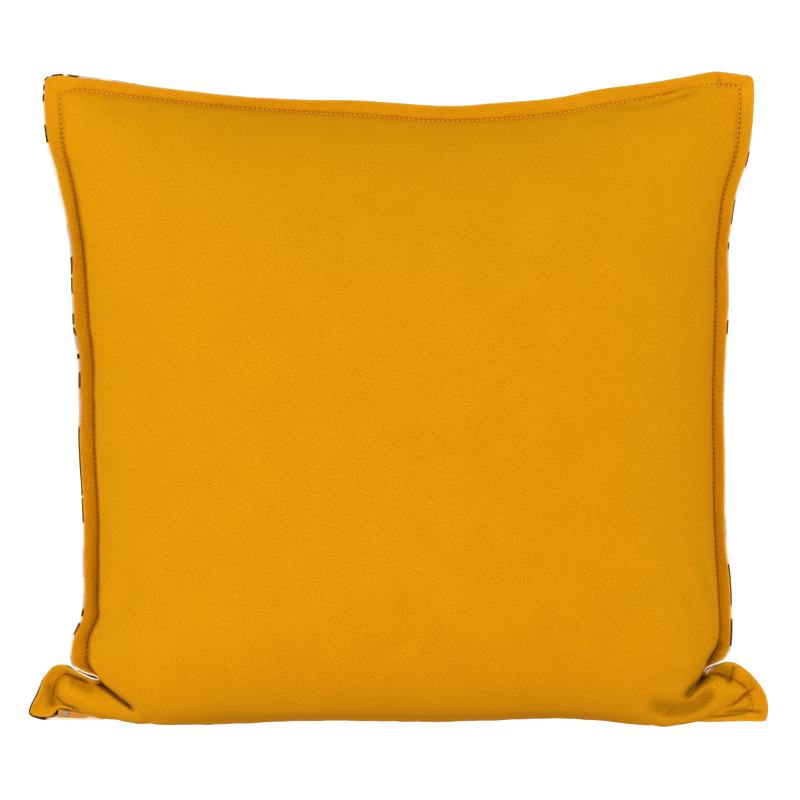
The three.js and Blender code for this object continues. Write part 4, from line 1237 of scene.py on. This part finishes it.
def capsule(start, end, up, radius, sides=6):
    """A short rounded thread between two points."""
    along = unit(end - start)
    side = unit(np.cross(along, up))
    rise = np.cross(side, along)
    rings = [(0.0, 0.3), (0.12, 0.8), (0.5, 1.0), (0.88, 0.8), (1.0, 0.3)]
    points = []
    for share, size in rings:
        centre = start + (end - start) * share + rise * radius * 0.8 * math.sin(math.pi * share)
        for k in range(sides):
            turn = 2 * math.pi * k / sides
            points.append(centre + (side * math.cos(turn) + rise * math.sin(turn)) * radius * size)
    faces = []
    for ring in range(len(rings) - 1):
        for k in range(sides):
            a, b = ring * sides + k, ring * sides + (k + 1) % sides
            faces.append([a, b, b + sides, a + sides])
    faces.append(list(range(sides))[::-1])
    faces.append([len(points) - sides + k for k in range(sides)])
    return points, faces


def on_seam(flange, along, way, height):
    """A place at a length along the stitches."""
    i = max(int(np.searchsorted(flange.run, along)) - 1, 0)
    after = (i + 1) % flange.count
    step = flange.run[after] - flange.run[i] if after else flange.length - flange.run[i]
    share = min(max((along - flange.run[i]) / max(step, 1e-6), 0), 1)
    here, there = flange.at(i, way, height), flange.at(after, way, height)
    return here + (there - here) * share, flange.up[i]


def topstitch(name, flange, height, material):
    """One thread for each stitch, halfway between two needle holes and a little aslant."""
    points, faces = [], []
    for k in range(int(flange.length / STITCH_PITCH)):
        middle = (k + 1) * STITCH_PITCH
        if flange.seam[np.searchsorted(flange.run, middle) - 1, 1] < THREAD_BURIED:
            continue
        start, _ = on_seam(flange, middle - STITCH_LENGTH / 2, STITCH_SLANT, height)
        end, up = on_seam(flange, middle + STITCH_LENGTH / 2, -STITCH_SLANT, height)
        new_points, new_faces = capsule(start, end, up * (1 if height > 0 else -1), THREAD_RADIUS)
        faces += [[index + len(points) for index in face] for face in new_faces]
        points += new_points
    piece = mesh_object(name, press_marks(np.array(points), FLANGE_CREASE), faces, material)
    set_vector(piece, "cloth", points)
    return piece


# Zip


def zip_axis(along):
    """A point on the zip's middle, and how wide it shows there."""
    share = (along - ZIP_START[0]) / (ZIP_END[0] - ZIP_START[0])
    middle = np.array(ZIP_START) + (np.array(ZIP_END) - np.array(ZIP_START)) * share
    return middle, 1 + (ZIP_TAPER - 1) * share


def zip_band():
    """The zip's woven tapes with the closed coil as three cords of small loops along its middle."""
    ways = np.linspace(-TAPE_HALF, TAPE_HALF, 41)
    cords = np.maximum.reduce([bump_at(ways, k * CORD_APART, 0.42) for k in (-1, 0, 1)])
    rows, kinds = [], []
    for along in np.arange(ZIP_START[0], ZIP_END[0], 0.16):
        middle, narrow = zip_axis(along)
        loops = 0.75 + 0.25 * np.cos(2 * np.pi * (along / LOOP_PITCH + 0.5 * (np.abs(ways) < 0.6)))
        rise = 0.2 + cords * CORD_RISE * loops
        rows.append(middle + np.stack([0 * ways, ways * narrow, rise], axis=1))
        kinds.append(first_only(cords * loops))
    top = np.array(rows)[:, ::-1]
    points, faces = closed_shell(top, top * np.array([1, 1, 0]) + np.array([0, 0, ZIP_END[2] - 0.3]))
    kind = np.array(kinds)[:, ::-1].reshape(-1, 3)
    return points, faces, np.vstack([kind, kind])


def end_stop():
    """The pressed metal stop that clamps the coil's first loops, a ribbed barrel with rounded edges."""
    middle, _ = zip_axis(STOP_AT)
    ring = 24
    points = []
    for share in np.linspace(0, 1, 17):
        groove = 0.12 * (bump_at(share, 0.3, 0.06) + bump_at(share, 0.7, 0.06))
        size = 1 - groove - 0.22 * abs(2 * share - 1) ** 8
        for turn in np.linspace(0, 2 * math.pi, ring, endpoint=False):
            wide = STOP_WIDE / 2 * size * rounded_square(math.cos(turn))
            tall = STOP_TALL / 2 * size * rounded_square(math.sin(turn))
            points.append(middle + np.array([STOP_LONG * (share - 0.5), wide, 0.85 + tall]))
    index = np.arange(len(points)).reshape(17, ring)
    faces = [f[::-1] for f in quads(np.hstack([index, index[:, :1]]))]
    faces += [index[0].tolist(), index[-1, ::-1].tolist()]
    return np.array(points), faces


def rounded_square(value):
    return math.copysign(abs(value) ** 0.55, value)


def make_zip():
    points, faces, kind = zip_band()
    band = mesh_object("zip_band", points + MIDDLE_SHIFT, faces, zip_cloth())
    set_vector(band, "cloth", points)
    set_vector(band, "kind", kind)
    points, faces = end_stop()
    stop = mesh_object("zip_end_stop", points + MIDDLE_SHIFT, faces, stop_metal())
    set_vector(stop, "cloth", points)
    for piece, node, slot in ((band, "zip_tape", "zip_tape"), (stop, "zip_stop", "zip_metal")):
        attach(piece, "root")
        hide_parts(node)


# Assembly


def joined(parts):
    """Several sets of points, faces and vectors as one."""
    points, part_faces, cloth, sewing = zip(*parts)
    faces = []
    count = 0
    for new_faces, new_points in zip(part_faces, points):
        faces += [[i + count for i in face] for face in new_faces]
        count += len(new_points)
    return np.vstack(points), faces, np.vstack(cloth), np.vstack(sewing)


def flange_shade(points, sewing):
    """The flange's shadow along the body, deeper on the left side and towards its foot."""
    x, y = points[:, 0], points[:, 1]
    left = 0.10 + 0.14 * (1 - smoothstep(y, -110, -60))
    right = 0.04 + 0.12 * (1 - smoothstep(y, -90, -50))
    beside = bump_at(sewing[:, 1], 2.2, 3.2) * (sewing[:, 2] < FAR_FROM_HEM)
    return np.where(x < 0, left, right) * beside * (over_stitches(y) / OVERHANG)


def make_front(front_grid, back_grid, flange, material):
    face = pressed_grid(pucker(front_grid))
    points, faces, cloth = make_filling(face, back_grid)
    tree = BVHTree.FromPolygons([Vector(p) for p in points], faces)
    parts = [(points, faces, cloth, no_sewing(points)), flange_part(flange, front_section, True)]
    lobes = [
        (LEFT_LOBE, -1, (0.50, 0.66), 1), (RIGHT_LOBE, 1, (0.46, 0.60), 2),
        (LEFT_UNDERFOLD, -1, NO_ROOT, 4), (RIGHT_UNDERFOLD, 1, NO_ROOT, 3),
    ]
    for rows, side, root, seed in lobes:
        parts.append(lobe_part(rows, tree, (0.5 * side, -0.5, 0.7), root, seed, side > 0))
    points, faces, cloth, sewing = joined(parts)
    holes = np.interp(sewing[:, 0], flange.run, flange.holes)
    piece = mesh_object("cushion_front", points, faces, material)
    set_vector(piece, "cloth", cloth)
    set_vector(piece, "sewing", sewing)
    # Shade painted into the colour: down in the creases and in the flange's shadow along the body
    shade = np.maximum(painted_fold_shade(points), flange_shade(points, sewing))
    set_vector(piece, "tone", np.stack([holes, shade, 0 * holes], axis=1))
    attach(piece, "root")
    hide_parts("front_cushion")


def rim_fade(grid):
    """A share for each point of a grid that falls from 1 inside to 0.3 on its rim."""
    rows, columns = np.indices(grid.shape[:2])
    steps = np.minimum(np.minimum(rows, rows[::-1]), np.minimum(columns, columns[:, ::-1]))
    return (0.3 + 0.7 * np.clip(steps / 3, 0, 1))[..., None]


def make_back(back_grid, flange, material):
    back_grid = back_grid[::2, ::2]
    outer = back_grid.copy()
    for rim in (outer[0], outer[-1], outer[:, 0], outer[:, -1]):
        rim[:, 2] -= BACK_RIM_DROP
    above = outer + grid_normals(back_grid) * BACK_CLOTH * rim_fade(back_grid)
    points, faces = closed_shell(above, outer)
    tree = BVHTree.FromPolygons([Vector(p) for p in points], faces)
    cloth = np.vstack([cloth_places(back_grid).reshape(-1, 3)] * 2)
    parts = [(points, faces, cloth, no_sewing(points)), flange_part(flange, back_section, False)]
    parts.append(lobe_back_part(LEFT_LOBE, tree, (-0.2, -0.4, -0.9), False))
    parts.append(lobe_back_part(RIGHT_LOBE, tree, (0.2, -0.4, -0.9), True))
    parts += [web_part(*web) for web in TUCK_WEBS]
    points, faces, cloth, sewing = joined(parts)
    tone = print_tone(points, sewing[:, 2])
    piece = mesh_object("cushion_back", points, faces, material)
    set_vector(piece, "cloth", cloth)
    set_vector(piece, "tone", first_only(tone))
    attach(piece, "root")
    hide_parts("back_panel")


def print_tone(points, from_hem):
    """Named tones of the back cloth: 1 cream, -1 black for dark print and painted shadow, 0 where only its
    all-over print shows.
    """
    cream, dark = np.zeros(len(points)), np.zeros(len(points))
    for x, y, wide, tall, depth in CREAM_PLACES:
        away = np.hypot((points[:, 0] - x) / wide, (points[:, 1] - y) / tall)
        inside = 1 - smoothstep(away, 0.85, 1.1)
        at_hem = 1 - smoothstep(from_hem, depth, depth + 0.6)
        cream = np.maximum(cream, inside * at_hem)
        # Painted shade: black down in the tuck, past the pale turning
        dark = np.maximum(dark, inside * (1 - at_hem))
    for x, y, wide, tall in DARK_PRINT_AND_SHADOW_PLACES:
        away = np.hypot((points[:, 0] - x) / wide, (points[:, 1] - y) / tall)
        dark = np.maximum(dark, 1 - smoothstep(away, 0.8, 1.1))
    named = cream * (1 - dark) - dark
    rest = (np.abs(named) < 0.05) * (1 - smoothstep(from_hem, 2.6, 3.4))
    return named + rest * hem_tone(points)


def hem_tone(points):
    """The tone of the print along the upper and the upright sides, cream between the listed dashes."""
    x, y = points[:, 0], points[:, 1]
    tone = np.zeros(len(points))
    outer_left = (x < -185) & ((y < 168) | (x < -214))
    sides = [(TOP_HEM, x, y > 168), (LEFT_HEM, y, outer_left), (RIGHT_HEM, y, (x > 185) & (y < 168))]
    for dashes, along, beside in sides:
        side = np.full(len(points), 0.85)
        for start, end, value in dashes:
            side[(along >= start) & (along < end)] = value
        tone = np.where(beside & (y > -158), side, tone)
    return np.where((y < -162) & (np.abs(x) > 202), EAR_HEM, tone)


def make_cover():
    front_grid, back_grid = inflated_body()
    flange = Flange()
    make_front(front_grid, back_grid, flange, mustard_twill())
    make_back(back_grid, flange, printed_cloth())
    mustard = plain_thread("mustard_thread", THREAD_MUSTARD)
    front = topstitch("topstitch_front", flange, THREAD_HEIGHT, mustard)
    pale = plain_thread("pale_thread", THREAD_PALE)
    back = topstitch("topstitch_back", flange, -THREAD_HEIGHT, pale)
    for piece, slot in ((front, "mustard_twill"), (back, "printed_cloth")):
        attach(piece, "root")
    make_zip()


# Studio


def make_camera():
    data = bpy.data.cameras.new("camera")
    camera = bpy.data.objects.new("camera", data)
    bpy.context.scene.collection.objects.link(camera)
    data.sensor_width = SENSOR
    data.lens = SENSOR * CAMERA_RISE / (PICTURE * PIXEL)
    data.clip_end = 20
    off_axis = (PICTURE / 2 - AXIS_PIXEL) * PIXEL
    place = MIDDLE_SHIFT + np.array([off_axis, -off_axis, RIM + CAMERA_RISE])
    camera.location = place * MM
    bpy.context.scene.camera = camera


def area_light(name, place, size, power, tint):
    data = bpy.data.lights.new(name, "AREA")
    data.size = size
    data.energy = power
    data.color = tint
    lamp = bpy.data.objects.new(name, data)
    bpy.context.scene.collection.objects.link(lamp)
    lamp.location = place
    lamp.rotation_euler = (Vector((0, 0, 0.06)) - Vector(place)).to_track_quat("-Z", "Y").to_euler()


def make_floor():
    n = Nodes(bpy.data.materials.new("pale_floor"))
    n.finish((0.85, 0.85, 0.85), 0.9, specular=0.0)
    n.shader.inputs["Emission Color"].default_value = (1, 1, 1, 1)
    n.shader.inputs["Emission Strength"].default_value = FLOOR_GLOW
    corners = [(x * FLOOR_HALF, y * FLOOR_HALF, -0.3) for x, y in ((-1, -1), (1, -1), (1, 1), (-1, 1))]
    floor = mesh_object("floor", corners, [(0, 1, 2, 3)], n.owner, smooth=False)
    floor.visible_diffuse = False
    floor.visible_shadow = False


def make_world():
    """A pale dome, greener towards the upper edge and redder towards the lower, and darker below."""
    n = Nodes(bpy.data.worlds.new("studio"), "Background")
    parts = n.parts(n.add("TexCoord", {}).outputs["Generated"])
    tint = n.mix(n.spread(parts[1], -0.8, 0.8), DOME_LOWER_TINT, DOME_TOP_TINT)
    n.link(tint, n.shader.inputs["Color"])
    strength = n.spread(parts[2], -0.1, 0.1, DOME_BELOW, DOME_ABOVE)
    n.link(strength, n.shader.inputs["Strength"])
    bpy.context.scene.world = n.owner


def make_studio():
    make_floor()
    make_world()
    for lamp in LAMPS:
        area_light(*lamp)
    bpy.context.scene.view_settings.view_transform = "Standard"


make_camera()
make_studio()
make_cover()
